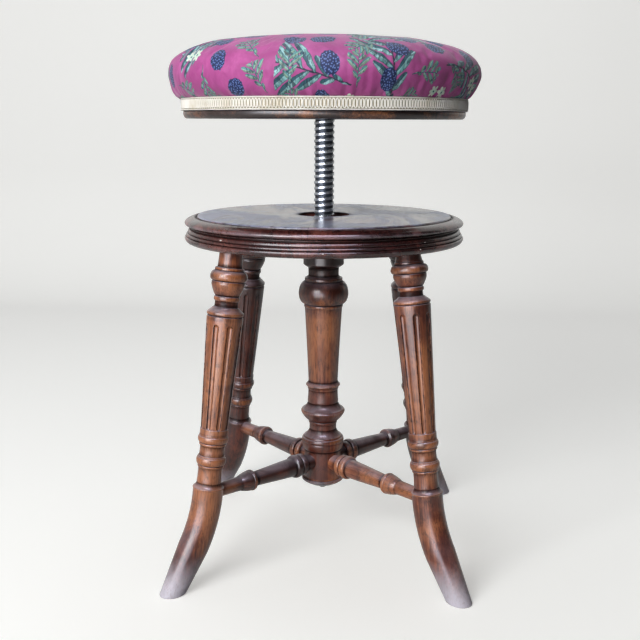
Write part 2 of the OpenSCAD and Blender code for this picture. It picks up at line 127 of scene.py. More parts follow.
def grid_mesh(name, grid, start=None, end=None, closed_rows=False):
    """A mesh of the points grid[row, column], whose columns run round a closed loop.

    Each quad joins point (i, j) with (i, j + 1), (i + 1, j + 1) and (i + 1, j), with j + 1 taken modulo the
    number of columns. start and end are single points that close the first and the last row as fans;
    closed_rows joins the last row to the first, as on a ring."""
    rows, columns = grid.shape[:2]
    index = np.arange(rows * columns).reshape(rows, columns)
    after = np.roll(index, -1, axis=1)
    below, below_after = np.roll(index, -1, axis=0), np.roll(after, -1, axis=0)
    quads = np.stack([index, after, below_after, below], axis=-1)
    quads = (quads if closed_rows else quads[:-1]).reshape(-1, 4)
    points = [grid.reshape(-1, 3)]
    fans = []
    for point, row, flip in ((start, 0, False), (end, rows - 1, True)):
        if point is None:
            continue
        hub = np.full(columns, rows * columns + len(points) - 1)
        rim = (index[row], after[row]) if flip else (after[row], index[row])
        fans.append(np.stack([hub, *rim], axis=1))
        points.append(np.asarray(point, float).reshape(1, 3))
    return raw_mesh(name, np.concatenate(points), quads, np.concatenate(fans) if fans else NO_TRIANGLES)


def raw_mesh(name, points, quads, triangles=NO_TRIANGLES):
    """Puts points and faces into a new mesh with whole arrays, quads first."""
    mesh = bpy.data.meshes.new(name)
    corners = np.concatenate([quads.ravel(), triangles.ravel()]).astype(np.int32)
    sizes = np.concatenate([np.full(len(quads), 4), np.full(len(triangles), 3)]).astype(np.int32)
    starts = np.concatenate([[0], np.cumsum(sizes)[:-1]]).astype(np.int32)
    mesh.vertices.add(len(points))
    mesh.vertices.foreach_set("co", points.astype(np.float32).ravel())
    mesh.loops.add(len(corners))
    mesh.loops.foreach_set("vertex_index", corners)
    mesh.polygons.add(len(sizes))
    mesh.polygons.foreach_set("loop_start", starts)
    mesh.polygons.foreach_set("loop_total", sizes)
    mesh.update(calc_edges=True)
    mesh.validate()
    return mesh


def piece(mesh, body, material, replaces=(), sharp=40):
    """An object of the mesh that rides on a body, wears a material and stands for CAD nodes."""
    obj = add_object(mesh.name, mesh)
    mesh.materials.append(material)
    mesh.shade_smooth()
    if sharp:
        mesh.set_sharp_from_angle(angle=math.radians(sharp))
    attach(obj, body)
    if replaces:
        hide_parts(*replaces)
    print(f"{obj.name}: {len(mesh.vertices)} points, {len(mesh.polygons)} faces")
    return obj


def store(mesh, name, values):
    """Keeps one number, or one vector, for each point of a mesh under a name that a material can read."""
    values = np.asarray(values, np.float32)
    kind, key = ("FLOAT_VECTOR", "vector") if values.ndim == 2 else ("FLOAT", "value")
    mesh.attributes.new(name, kind, "POINT").data.foreach_set(key, values.ravel())


def points_of(mesh):
    """The mesh's points as an array of rows x, y, z."""
    flat = np.empty(len(mesh.vertices) * 3, np.float32)
    mesh.vertices.foreach_get("co", flat)
    return flat.reshape(-1, 3).astype(float)


# %% [markdown]
# A plain pale sheet that curves up behind the stool serves as floor and wall. A large soft lamp stands where
# a window would, at the left and in front, and a weaker one is high behind. Two more are seen by reflections
# alone, one low and wide and one high in front, as the foot and the head of a tall window are: they draw the
# lilac lights on the mouldings.

# %% Stage and lamps
STAGE_WIDTH = 9.0
STAGE_FRONT = -3.5
STAGE_BACK = 1.7
STAGE_BEND = 0.35
STAGE_TOP = 4.0


def stage_mesh():
    """A level sheet, a quarter circle of radius STAGE_BEND and an upright sheet, carried along X."""
    turn = np.linspace(0, math.pi / 2, 24)
    y = np.concatenate([[STAGE_FRONT], STAGE_BACK - STAGE_BEND + STAGE_BEND * np.sin(turn), [STAGE_BACK]])
    z = np.concatenate([[0.0], STAGE_BEND * (1 - np.cos(turn)), [STAGE_TOP]])
    x = np.array([-STAGE_WIDTH / 2, STAGE_WIDTH / 2])
    grid = np.stack(np.broadcast_arrays(x[None, :], y[:, None], z[:, None]), axis=-1)
    count = len(y)
    index = np.arange(count * 2).reshape(count, 2)
    quads = np.stack([index[:-1, 0], index[:-1, 1], index[1:, 1], index[1:, 0]], axis=1)
    return raw_mesh("stage", grid.reshape(-1, 3), quads)


def lamp(name, place_m, target, width, height, watts, color, lights=True):
    """A rectangular area lamp at place_m that faces target: its own -Z axis points there.

    Without lights it is only seen in reflections."""
    data = bpy.data.lights.new(name, "AREA")
    data.shape = "RECTANGLE"
    data.size, data.size_y, data.energy, data.color = width, height, watts, color
    obj = add_object(name, data)
    back = np.subtract(place_m, target)
    back = back / np.linalg.norm(back)
    right = np.cross([0, 0, 1], back)
    right = right / np.linalg.norm(right)
    matrix = np.eye(4)
    matrix[:3, 0], matrix[:3, 1], matrix[:3, 2], matrix[:3, 3] = right, np.cross(back, right), back, place_m
    place(obj, matrix)
    obj.visible_diffuse = lights


STOOL_MIDDLE, LOW_GLASS_MIDDLE = (0.0, 0.0, 0.33), (0.0, 0.0, 0.43)
lamp("window", (-1.2, -2.0, 1.34), STOOL_MIDDLE, 1.6, 1.3, 69, (0.94, 0.97, 1.0))
lamp("high", (-0.2, 0.5, 2.1), STOOL_MIDDLE, 1.8, 1.4, 11, (0.88, 0.93, 1.0))
lamp("sky_glass", (0.1, -1.25, 2.1), STOOL_MIDDLE, 1.5, 0.7, 52, (0.82, 0.78, 1.0), lights=False)
lamp("low_glass", (-1.35, -2.7, 0.43), LOW_GLASS_MIDDLE, 3.2, 0.8, 55, (0.84, 0.86, 1.0), lights=False)

# %% [markdown]
# ## Finishes are recipes
# A finish here is a small graph of nodes that works from where a point lies and from numbers stored on the
# mesh, so it holds from every side and under any light. The helper class below keeps each recipe short: it
# makes a node, sets what is a plain value and links what comes from another node.

# %% A helper for recipes
def paint(code):
    """An sRGB colour such as "#5b2c1c" as the linear red, green, blue and alpha that Blender works in.

    Above 0.04045 a channel c becomes ((c + 0.055) / 1.055) ** 2.4, and below it c / 12.92."""
    channels = np.array([int(code[i:i + 2], 16) / 255 for i in (1, 3, 5)])
    linear = np.where(channels > 0.04045, ((channels + 0.055) / 1.055) ** 2.4, channels / 12.92)
    return (*map(float, linear), 1.0)


class Recipe:
    """A material whose nodes are made by short calls; self.shader is its Principled shader."""

    def __init__(self, name):
        self.material = bpy.data.materials.new(name)
        self.material.use_nodes = True
        self.tree = self.material.node_tree
        self.shader = self.tree.nodes["Principled BSDF"]

    def put(self, socket, value):
        if isinstance(value, bpy.types.NodeSocket):
            self.tree.links.new(value, socket)
        else:
            socket.default_value = value

    def node(self, kind, inputs, **settings):
        made = self.tree.nodes.new("ShaderNode" + kind)
        for key, value in settings.items():
            setattr(made, key, value)
        for key, value in inputs.items():
            self.put(made.inputs[key], value)
        return made

    def finish(self, **sockets):
        """Sets the shader's sockets, named with _ for each space."""
        for key, value in sockets.items():
            self.put(self.shader.inputs[key.replace("_", " ")], value)
        return self.material

    def math(self, operation, *values, clamp=False):
        return self.node("Math", dict(enumerate(values)), operation=operation, use_clamp=clamp).outputs[0]

    def add(self, a, b, clamp=False):
        return self.math("ADD", a, b, clamp=clamp)

    def minus(self, a, b, clamp=False):
        return self.math("SUBTRACT", a, b, clamp=clamp)

    def times(self, a, b, clamp=False):
        return self.math("MULTIPLY", a, b, clamp=clamp)

    def far(self, x, y):
        """x^2 + y^2."""
        return self.add(self.math("POWER", x, 2.0), self.math("POWER", y, 2.0))

    def swing(self, value, gain):
        """How far the value lies over one half, times gain."""
        return self.times(self.minus(value, 0.5), gain)

    def parts(self, vector):
        """The vector's X, Y and Z."""
        return self.node("SeparateXYZ", {"Vector": vector}).outputs

    def vector(self, operation, *values):
        made = self.node("VectorMath", {}, operation=operation)
        if operation == "SCALE":
            self.put(made.inputs[0], values[0])
            self.put(made.inputs["Scale"], values[1])
        else:
            for i, value in enumerate(values):
                self.put(made.inputs[i], value)
        return made.outputs["Value" if operation in ("LENGTH", "DOT_PRODUCT") else "Vector"]

    def blend(self, factor, a, b):
        """Colour a where the factor is 0 and b where it is 1."""
        made = self.node("Mix", {"Factor": factor}, data_type="RGBA")
        self.put(made.inputs[6], a)
        self.put(made.inputs[7], b)
        return made.outputs[2]

    def step(self, value, low, high, to_low=0.0, to_high=1.0):
        """Rises smoothly from to_low to to_high as the value goes from low to high."""
        return self.node("MapRange", {"Value": value, "From Min": low, "From Max": high, "To Min": to_low,
                                      "To Max": to_high}, interpolation_type="SMOOTHSTEP").outputs[0]

    def noise(self, place_, scale, detail=2.0, roughness=0.5, distortion=0.0):
        return self.node("TexNoise", {"Vector": place_, "Scale": scale, "Detail": detail,
                                      "Roughness": roughness, "Distortion": distortion}).outputs[0]

    def stretch(self, place_, scales):
        return self.vector("MULTIPLY", place_, scales)

    def stored(self, name, kind="Fac"):
        return self.node("Attribute", {}, attribute_name=name).outputs[kind]

    def here(self):
        return self.node("TexCoord", {}).outputs["Object"]

    def bump(self, height, strength, distance, under=None):
        inputs = {"Height": height, "Strength": strength, "Distance": distance}
        if under is not None:
            inputs["Normal"] = under
        return self.node("Bump", inputs).outputs[0]


# %% [markdown]
# The stage is painted a warm off-white. Its paint also glows, but only for rays that come from the camera
# or off gloss: the sheet looks as bright as a lit studio wall, still keeps the stool's shadow, and adds no
# light to the stool. Gloss sees the floor dimmer than the wall, apart from a bright patch in front where a
# window's light would fall, and beyond the stage it sees a room that is bright on the window's side and
# dark elsewhere. That gives the polish its contrast.

# %% Paint the stage and light the world
STAGE_BASE, STAGE_BOUNCE, STAGE_SHINE = paint("#dfddd8"), paint("#98969a"), paint("#f7f6f2")
STAGE_GLOW = 0.45
WORLD_COLOR = paint("#f1f1f0")
WORLD_AMBIENT = 0.03
FLOOR_GLOSS, FLOOR_TO_WALL = 0.3, (0.2, 0.8)
LIT_FLOOR, LIT_MIDDLE, LIT_SIZE = 11.0, (-0.75, -2.15, 0.0), (1 / 1.35, 1 / 1.3, 0.0)
ROOM_DARK, ROOM_BRIGHT = 0.05, 0.5
BRIGHT_SIDE = (-0.8, 0.6, 0.0)


def seen_directly(recipe):
    """1 for rays from the camera or through glass and 0 for others, and the same for rays off gloss."""
    rays = recipe.node("LightPath", {}).outputs
    return recipe.math("MAXIMUM", rays["Is Camera Ray"], rays["Is Transmission Ray"]), rays["Is Glossy Ray"]


stage_paint = Recipe("stage_paint")
straight, off_gloss = seen_directly(stage_paint)
height = stage_paint.parts(stage_paint.here())["Z"]
shine = stage_paint.step(height, *FLOOR_TO_WALL, FLOOR_GLOSS, 1.0)
from_lit = stage_paint.vector("SUBTRACT", stage_paint.here(), LIT_MIDDLE)
from_lit = stage_paint.vector("LENGTH", stage_paint.stretch(from_lit, LIT_SIZE))
shine = stage_paint.add(shine, stage_paint.times(stage_paint.step(from_lit, 1.0, 0.6, 0.0, LIT_FLOOR),
                                                 stage_paint.step(height, 0.05, 0.0)))
off_gloss = stage_paint.times(off_gloss, shine)
glow = stage_paint.times(stage_paint.math("MAXIMUM", straight, off_gloss), STAGE_GLOW)
bounced = stage_paint.node("LightPath", {}).outputs["Is Diffuse Ray"]
stage_paint.finish(Base_Color=stage_paint.blend(bounced, STAGE_BASE, STAGE_BOUNCE), Roughness=0.9,
                   Specular_IOR_Level=0.1, Emission_Color=STAGE_SHINE, Emission_Strength=glow)
stage = add_object("stage", stage_mesh())
stage.data.materials.append(stage_paint.material)
stage.data.shade_smooth()

world = bpy.data.worlds.new("studio")
bpy.context.scene.world = world
world.use_nodes = True
sky = Recipe.__new__(Recipe)
sky.tree = world.node_tree
sky.put(world.node_tree.nodes["Background"].inputs["Color"], WORLD_COLOR)
straight, off_gloss = seen_directly(sky)
toward_window = sky.vector("DOT_PRODUCT", sky.node("TexCoord", {}).outputs["Generated"], BRIGHT_SIDE)
room = sky.times(sky.step(toward_window, -0.2, 0.9, ROOM_DARK, ROOM_BRIGHT), off_gloss)
sky.put(world.node_tree.nodes["Background"].inputs["Strength"],
        sky.math("MAXIMUM", sky.math("MAXIMUM", sky.times(straight, 0.9), room), WORLD_AMBIENT))
print("ambient light:", WORLD_AMBIENT)

# %% [markdown]
# ## Old polished wood
# The wood is a stained hardwood under many coats of polish: nearly black where polish and dust have settled
# in the grooves, red-brown on the flats and orange-brown where hands and dusters have rubbed it thin. It
# could be painted by hand. Here each turned piece instead stores how far its surface stands proud of the
# surface nearby, and the recipe darkens hollows with grime and painted shade and rubs crests with that
# number. Grain runs along the piece's own log, whose coordinates each mesh stores too. Broad clouds and
# patches of noise keep the tone from being even, dust and a painted sheen of the light from above grey what
# faces up, and the toes are bare where shoes have scuffed them.
#
# The platform has marks of its own: a hazy, water-marked panel whose pale blue patches are also a painted
# reflection of a bright wall, a glued joint that shows as a dark seam, and a few pale chips on the edges of
# its mouldings.

# %% Mark the platform
# The darkest colour is grime and painted shade in the hollows, and it also darkens the seam.
GRIME_AND_SHADE, DUST_AND_SHEEN, CHIP, BARE = paint("#120604"), paint("#a89aa4"), paint("#e6dcd6"), paint("#d3ccd4")
# The panel's pale blue-grey: a waxy bloom and a painted reflection of a bright wall.
BLOOM_AND_REFLECTION = paint("#b4bcd6")
PANEL_R = 139.3 * MM
SEAM_X, SEAM_HALF_WIDE = -8.0 * MM, 0.35 * MM
CHIP_RIM_R, CHIP_HALF_HIGH = 151.5 * MM, 0.6 * MM
CHIPS = ((-130.7, 365.0 * MM, 2.0 * MM), (-44.8, 364.3 * MM, 1.1 * MM), (-48.5, 358.4 * MM, 0.9 * MM),
         (-87.4, 357.9 * MM, 0.8 * MM))


def chipped(mix, color, azimuth, height, length):
    """A pale chip on a round edge, as an oval patch about one place of the rim.

    With the angle d from the chip's azimuth, the patch is where (r d / length)^2 + ((z - height) / half
    high)^2 is below 1."""
    x, y, z = mix.parts(mix.here())
    angle = mix.minus(mix.math("ARCTAN2", y, x), math.radians(azimuth))
    along_rim = mix.math("DIVIDE", mix.times(angle, CHIP_RIM_R), length)
    up_ = mix.math("DIVIDE", mix.minus(z, height), CHIP_HALF_HIGH)
    return mix.blend(mix.step(mix.far(along_rim, up_), 1.0, 0.5), color, CHIP)


def platform_marks(mix, color, bloom_and_reflection, upward):
    """The colour with the panel's haze and painted reflection, the seam and the chips; that haze and
    reflection; and 1 on the panel.
    """
    haze = mix.noise(mix.stretch(mix.here(), (14.0, 8.0, 8.0)), 1.0, 5.0, 0.62, 1.2)
    from_axis = mix.vector("LENGTH", mix.stretch(mix.here(), (1.0, 1.0, 0.0)))
    on_panel = mix.step(from_axis, PANEL_R, PANEL_R - 0.5 * MM)
    # Patches of bloom and painted reflection, on the panel's upward faces only.
    hazy_and_reflecting = mix.times(mix.step(haze, 0.40, 0.60, 0.1, 1.0), mix.times(upward, on_panel), clamp=True)
    color = mix.blend(mix.times(hazy_and_reflecting, 0.8), color, bloom_and_reflection)
    beside = mix.minus(mix.parts(mix.here())["X"], SEAM_X)
    seam = mix.step(mix.math("ABSOLUTE", beside), SEAM_HALF_WIDE, 0.3 * SEAM_HALF_WIDE, 0.0, 0.8)
    color = mix.blend(seam, color, GRIME_AND_SHADE)
    for chip in CHIPS:
        color = chipped(mix, color, *chip)
    return color, hazy_and_reflecting, on_panel


# %% [markdown]
# One recipe serves all the wood, with other colours and another gloss for each piece. The layers go on in
# the order in which time put them there: the wood's own figure, rubbed crests, pores, grime with painted
# shade in the hollows, dust with a painted sheen on what faces up, and last the bare toes.

# %% Mix the wood polish
def polished_wood(name, colors, gloss, wear, bloom_and_reflection=None):
    """Wood whose figure is noise drawn out along the log, with pores, rubbed crests, and grime and painted
    shade in hollows.

    The meshes store grain, the place in the log; proud, the height in millimetres over the nearby surface;
    tone, a shift between dark and light wood, which on some pieces also carries painted shade; and scuff, a
    share of bare, grey, worn-out surface. colors are the dark, the middle and the rubbed wood, and wear says
    how fast crests get rubbed. A wood with a bloom_and_reflection colour has the platform's marks, with the
    panel's painted reflection, instead of dust and painted sheen."""
    mix = Recipe(name)
    dark, middle, rubbed = map(paint, colors)
    log = mix.stored("grain", "Vector")
    proud, tone, scuff = mix.stored("proud"), mix.stored("tone"), mix.stored("scuff")
    streak = mix.noise(mix.stretch(log, (420.0, 420.0, 16.0)), 1.0, 4.0, 0.62)
    pores = mix.noise(mix.stretch(log, (1500.0, 1500.0, 60.0)), 1.0, 1.0)
    scratch = mix.noise(mix.stretch(log, (900.0, 900.0, 160.0)), 1.0, 3.0, 0.65)
    patch = mix.noise(mix.stretch(mix.here(), (14.0, 14.0, 9.0)), 1.0, 2.0, 0.5, 0.3)
    age = mix.noise(mix.stretch(mix.here(), (55.0, 55.0, 40.0)), 1.0, 5.0, 0.7, 1.4)
    cloud = mix.noise(mix.here(), 34.0, 4.0, 0.62, 0.5)
    specks = mix.noise(mix.here(), 330.0, 2.0, 0.6)

    body = mix.add(mix.add(tone, mix.swing(cloud, 1.1)), mix.swing(patch, 0.7))
    body = mix.add(body, mix.swing(streak, 0.9))
    color = mix.blend(mix.step(body, 0.1, 0.9), dark, middle)
    crest = mix.add(mix.times(proud, wear), mix.swing(patch, 2.2))
    crest = mix.add(crest, mix.times(mix.minus(body, 0.42), 0.9))
    color = mix.blend(mix.step(crest, 0.0, 0.7, 0.0, 0.85), color, rubbed)
    # Pale dust and a painted sheen on proud edges.
    edge = mix.add(proud, mix.swing(cloud, 1.6))
    color = mix.blend(mix.step(edge, 0.75, 1.6, 0.0, 0.42), color, DUST_AND_SHEEN)
    color = mix.blend(mix.step(pores, 0.52, 0.70, 0.0, 0.6), color, dark)
    color = mix.blend(mix.step(age, 0.52, 0.68, 0.0, 0.65), color, dark)
    # Hollows go dark: grime, and painted shade where light does not reach.
    grime_and_shade = mix.step(mix.minus(mix.swing(specks, 0.35), proud), 0.06, 0.6)
    color = mix.blend(mix.times(grime_and_shade, 0.85), color, GRIME_AND_SHADE)
    upward = mix.parts(mix.node("NewGeometry", {}).outputs["Normal"])["Z"]
    if bloom_and_reflection:
        color, hazy_and_reflecting, on_panel = platform_marks(mix, color, bloom_and_reflection, upward)
    else:
        # Dust, and a painted sheen of the light from above, on what faces up.
        dust_and_sheen = mix.times(mix.step(upward, 0.25, 0.9), mix.step(cloud, 0.3, 0.7, 0.15, 0.65))
        color = mix.blend(dust_and_sheen, color, DUST_AND_SHEEN)
    bare = mix.step(mix.add(scuff, mix.swing(cloud, 0.5)), 0.1, 0.95)
    color = mix.blend(mix.times(bare, 0.94), color, BARE)
    color = mix.blend(mix.times(bare, mix.step(scratch, 0.5, 0.75, 0.0, 0.5)), color, middle)

    roughness = mix.add(mix.add(gloss, mix.times(cloud, 0.16)), mix.times(grime_and_shade, 0.25))
    roughness = mix.add(roughness, mix.times(bare, 0.3), clamp=True)
    coat = mix.minus(0.5, mix.times(mix.math("MAXIMUM", bare, grime_and_shade), 0.42), clamp=True)
    if bloom_and_reflection:
        roughness = mix.add(roughness, mix.times(hazy_and_reflecting, 0.2), clamp=True)
        coat = mix.add(coat, mix.times(mix.minus(0.6, hazy_and_reflecting), mix.times(on_panel, 0.5)), clamp=True)
    relief = mix.bump(mix.add(mix.times(streak, 0.6), pores), 0.25, 0.0002)
    relief = mix.bump(mix.noise(mix.here(), 120.0, 2.0), 0.2, 0.0004, relief)
    return mix.finish(Base_Color=color, Roughness=roughness, Normal=relief, Coat_Weight=coat,
                      Coat_Roughness=0.16, Specular_IOR_Level=mix.step(grime_and_shade, 0.0, 1.0, 0.5, 0.12))


turned_wood = polished_wood("turned_wood_polish", ("#2b0b05", "#763620", "#b87246"), 0.28, 0.42)
platform_wood = polished_wood("platform_polish", ("#200808", "#5e2924", "#8c5044"), 0.20, 0.2, BLOOM_AND_REFLECTION)
board_wood = polished_wood("seat_board_polish", ("#1c0a06", "#4c2a1b", "#a8683f"), 0.34, 0.4)
print("wood polishes:", turned_wood.name, platform_wood.name, board_wood.name)

# %% [markdown]
# ## Reading an outline off a turned solid
# A turned solid is a stack of rings, and each edge of its CAD mesh is a full ring of points that share one
# place along the axis and one radius. Finding those rings gives the turner's outline back.

# %% Find the rings of a solid
RING_CELL, SAME_RING, SAME_LEVEL = 0.04 * MM, 0.035 * MM, 0.03 * MM


def rings_of(node, origin, axis, least_radius, least_points=60):
    """Places along the axis and radii of the full rings in a CAD node, sorted from low to high.

    For a point p, t = (p - origin) . axis and r = |p - origin - t axis|. Points are binned by t and r in
    cells of RING_CELL, four times with shifted cells so that no ring is split between two of them. Rings
    closer than SAME_RING are one. Two at one level are swapped where that shortens the outline."""
    offset = points_of(nodes[node].data) - np.asarray(origin)
    t = offset @ axis
    r = np.linalg.norm(offset - t[:, None] * axis, axis=1)
    found = []
    for shift in ((0, 0), (0.5, 0), (0, 0.5), (0.5, 0.5)):
        key = np.floor(np.stack([t, r], axis=1) / RING_CELL + shift).astype(int)
        _, inverse, counts = np.unique(key, axis=0, return_inverse=True, return_counts=True)
        inverse = inverse.ravel()
        rings = np.stack([np.bincount(inverse, t) / counts, np.bincount(inverse, r) / counts], axis=1)
        found.append(rings[counts >= least_points])
    rings = np.concatenate(found)
    rings = rings[rings[:, 1] > least_radius]
    rings = rings[np.lexsort((rings[:, 1], np.round(rings[:, 0] / RING_CELL)))]
    kept = [rings[0]]
    for ring in rings[1:]:
        if min(np.hypot(*(ring - other)) for other in kept[-4:]) > SAME_RING:
            kept.append(ring)
    kept = np.array(kept)
    for i in range(1, len(kept) - 2):
        before, low, high, after = kept[i - 1:i + 3, 1]
        level = abs(kept[i, 0] - kept[i + 1, 0]) < SAME_LEVEL
        if level and abs(low - before) + abs(high - after) > abs(high - before) + abs(low - after):
            kept[[i, i + 1]] = kept[[i + 1, i]]
    return kept


# %% [markdown]
# The CAD outline is a chain of short chords. A subdivision modifier would round it off everywhere. A curve
# through the same points instead keeps each bead's size, and leaves corners sharp where the turner's tool
# left them sharp.

# %% Draw a smooth outline
def flow(outline, sharp=32, samples=10):
    """Draws a smooth curve through the outline's points, but keeps its sharp corners and straight runs.

    Each point has a direction: the neighbours' chord directions weighted by the other chord's length, or
    the long chord's own where one is over three times the other. Between two points runs the cubic Hermite
    curve (2u^3 - 3u^2 + 1) p + (u^3 - 2u^2 + u) a + (3u^2 - 2u^3) q + (u^3 - u^2) b."""
    chord = np.diff(outline, axis=0)
    length = np.linalg.norm(chord, axis=1)
    unit = chord / length[:, None]
    before, after = unit[:-1], unit[1:]
    one, two = length[:-1, None], length[1:, None]
    middle = before * two + after * one
    middle = np.where(one > 3 * two, before, np.where(two > 3 * one, after, middle))
    middle = middle / np.linalg.norm(middle, axis=1)[:, None]
    corner = (np.sum(before * after, axis=1) < math.cos(math.radians(sharp)))[:, None]
    nothing = np.full((1, 2), np.nan)
    leaving = np.concatenate([nothing, np.where(corner, np.nan, middle)])
    arriving = np.concatenate([np.where(corner, np.nan, middle), nothing])
    mirror_a, mirror_b = 2 * unit - arriving, 2 * unit - leaving
    a = np.where(np.isnan(leaving), np.where(np.isnan(mirror_a), unit, mirror_a), leaving)
    b = np.where(np.isnan(arriving), np.where(np.isnan(mirror_b), unit, mirror_b), arriving)
    u = (np.arange(samples) / samples)[None, :, None]
    p, q = outline[:-1, None], outline[1:, None]
    a, b = (a * length[:, None])[:, None], (b * length[:, None])[:, None]
    curve = (2 * u**3 - 3 * u**2 + 1) * p + (u**3 - 2 * u**2 + u) * a \
        + (3 * u**2 - 2 * u**3) * q + (u**3 - u**2) * b
    return np.concatenate([curve.reshape(-1, 2), outline[-1:]])


# %% [markdown]
# Sandpaper does the rest. Averaging the outline over a third of a millimetre eases its corners, and the
# average over three millimetres tells crests from hollows, which polish and dust treat differently. The
# outline is then thinned to as many rows as its bends need.

# %% Sand the outline
def along(outline):
    """The length of the outline from its start to each of its points."""
    return np.concatenate([[0.0], np.cumsum(np.linalg.norm(np.diff(outline, axis=0), axis=1))])


def sample(outline, places):
    """The outline's points at given lengths from its start."""
    s = along(outline)
    return np.stack([np.interp(places, s, outline[:, k]) for k in (0, 1)], axis=1)


def blur(values, width):
    """A Gaussian average over evenly spaced rows, width being its standard deviation in rows."""
    reach = int(3 * width) + 1
    weight = np.exp(-0.5 * (np.arange(-reach, reach + 1) / width) ** 2)
    ends = (2 * values[:1] - values[reach:0:-1], 2 * values[-1:] - values[-2:-reach - 2:-1])
    padded = np.concatenate([ends[0], values, ends[1]])
    return np.stack([np.convolve(padded[:, k], weight / weight.sum(), "valid")
                     for k in range(values.shape[1])], axis=1)


SAND_STEP = 0.1 * MM
EASE, NEARBY = 3.2, 30.0
ROW_TURN, ROW_LONGEST = math.radians(12), 6 * MM


def sand(outline, fine=()):
    """Eases the corners, then keeps as many rows as the bends need; also says how proud each row stands.

    The outline is sampled every SAND_STEP and averaged over EASE samples. Rows are then placed at even
    steps of a cost: the angle turned over ROW_TURN, plus the length over ROW_LONGEST, plus extra in the
    spans (from, to, step) of t given in fine. Proud is the radius less its average over NEARBY samples."""
    dense = flow(outline)
    count = int(along(dense)[-1] / SAND_STEP) + 1
    even = sample(dense, np.linspace(0, along(dense)[-1], count))
    soft = blur(even, EASE)
    soft[0], soft[-1] = outline[0], outline[-1]
    proud = (soft - blur(soft, NEARBY))[:, 1] / MM
    step = np.diff(soft, axis=0)
    heading = np.unwrap(np.arctan2(step[:, 1], step[:, 0]))
    distance = np.linalg.norm(step, axis=1)
    cost = np.abs(np.gradient(heading)) / ROW_TURN + distance / ROW_LONGEST
    for low, high, spacing in fine:
        inside = (soft[:-1, 0] > low) & (soft[:-1, 0] < high)
        cost += inside * distance / spacing
    total = np.concatenate([[0.0], np.cumsum(cost)])
    places = np.interp(np.linspace(0, total[-1], int(total[-1]) + 2), total, np.arange(len(soft)))
    rows = np.arange(len(soft))
    return np.stack([np.interp(places, rows, v) for v in (soft[:, 0], soft[:, 1], proud)], axis=1)


def sand_shut(outline):
    """Sanded rows whose first and last stand on the axis, where the mesh closes."""
    shut = sand(outline)
    shut[0, 1] = shut[-1, 1] = 0.0
    return shut


# %% [markdown]
# A turned piece is then its outline carried round its axis. Beside the surface it stores the four numbers
# that the polish reads.

# %% Turn a piece
ALONG_X = np.array([1.0, 0.0, 0.0])


def frame_about(axis):
    """Two directions across the axis: the first as near to +X as can be, the second axis x first."""
    first = ALONG_X - axis[0] * axis
    first = first / np.linalg.norm(first)
    return first, np.cross(axis, first)


def mark(mesh, log, proud, tone, scuff=0.0):
    """Stores what the wood polish reads: place in the log, height over the nearby surface, tone, scuff."""
    count = len(mesh.vertices)
    store(mesh, "grain", log)
    for name, values in (("proud", proud), ("tone", tone), ("scuff", scuff)):
        if np.ndim(values) == 0:
            store(mesh, name, np.full(count, values))
        else:
            store(mesh, name, np.concatenate([np.ravel(values), np.zeros(count - np.size(values))]))


def turned_mesh(name, origin, axis, rows, columns, log_turn=None, tone=0.5):
    """origin + t axis + r (cos a first + sin a second) for each row (t, r, proud) and angle a.

    Rows run up the outside. A row of radius 0 at either end is a pole, closed by a fan. log_turn is a
    3 x 3 matrix that turns places into the log, whose grain runs along its third direction. tone is one
    number, or a function of t and a. Each name has its own shift in the log, so that no two look alike."""
    origin, axis = np.asarray(origin, float), np.asarray(axis, float)
    first, second = frame_about(axis)
    start = origin + rows[0, 0] * axis if rows[0, 1] < 1e-9 else None
    end = origin + rows[-1, 0] * axis if rows[-1, 1] < 1e-9 else None
    body = rows[(1 if start is not None else 0):(len(rows) - 1 if end is not None else len(rows))]
    angle = circle(columns)
    ring = np.cos(angle)[:, None] * first + np.sin(angle)[:, None] * second
    grid = origin + body[:, 0, None, None] * axis + body[:, 1, None, None] * ring
    mesh = grid_mesh(name, grid, start, end, closed_rows=start is None and end is None)
    places = points_of(mesh) - origin
    log = places @ np.stack([first, second, axis], axis=1) if log_turn is None else places @ log_turn
    own = sum(map(ord, name))
    offset = 0.31 * np.array([own % 17, own % 11, own % 7])
    if callable(tone):
        tone = tone(*np.broadcast_arrays(body[:, 0, None], angle[None, :]))
    mark(mesh, log + offset, np.repeat(body[:, 2], columns), tone)
    return mesh


# %% [markdown]
# ## The platform
# A thick round board with a raised flat panel, a fine quirk round it and a rim of two round mouldings with
# beads between them. In its middle a round recess takes the nut. The grain runs from front to back, so the
# front of the rim is end grain and dark, and a glued joint crosses the rim a little left of the front.

# %% Turn the platform
UP = np.array([0.0, 0.0, 1.0])
MIDDLE = np.zeros(3)
RECESS_R = 28.0 * MM
SPIGOT_HOLE_R = 19.1 * MM
NUT_BORE_R = 15.1 * MM
RIM_FROM_R = 120.0 * MM

platform_low, platform_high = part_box("platform")
recess_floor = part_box("nut_screws")[1].z - 5.0 * MM
rim = rings_of("platform", MIDDLE, UP, RECESS_R + 1 * MM, least_points=150)
rim = rim[rim[:, 1] > RIM_FROM_R]
panel_edge = rim[rim[:, 1] < PANEL_R]
quirk_floor = np.abs(rim[:, 0] - panel_edge[0, 0]) < SAME_LEVEL
outside = rim[:, 1] > PANEL_R
rim = np.concatenate([rim[outside & ~quirk_floor], rim[outside & quirk_floor], panel_edge])
recess_corner = [recess_floor, SPIGOT_HOLE_R]
loop = np.concatenate([[recess_corner, [platform_low.z, SPIGOT_HOLE_R]], rim,
                       [[platform_high.z, RECESS_R], [recess_floor, RECESS_R], recess_corner]])
rows = sand(loop, fine=((recess_floor, platform_high.z, 0.9 * MM),))[:-1]
FRONT_TO_BACK = np.array([[1.0, 0, 0], [0, 0, 1.0], [0, -1.0, 0]]).T
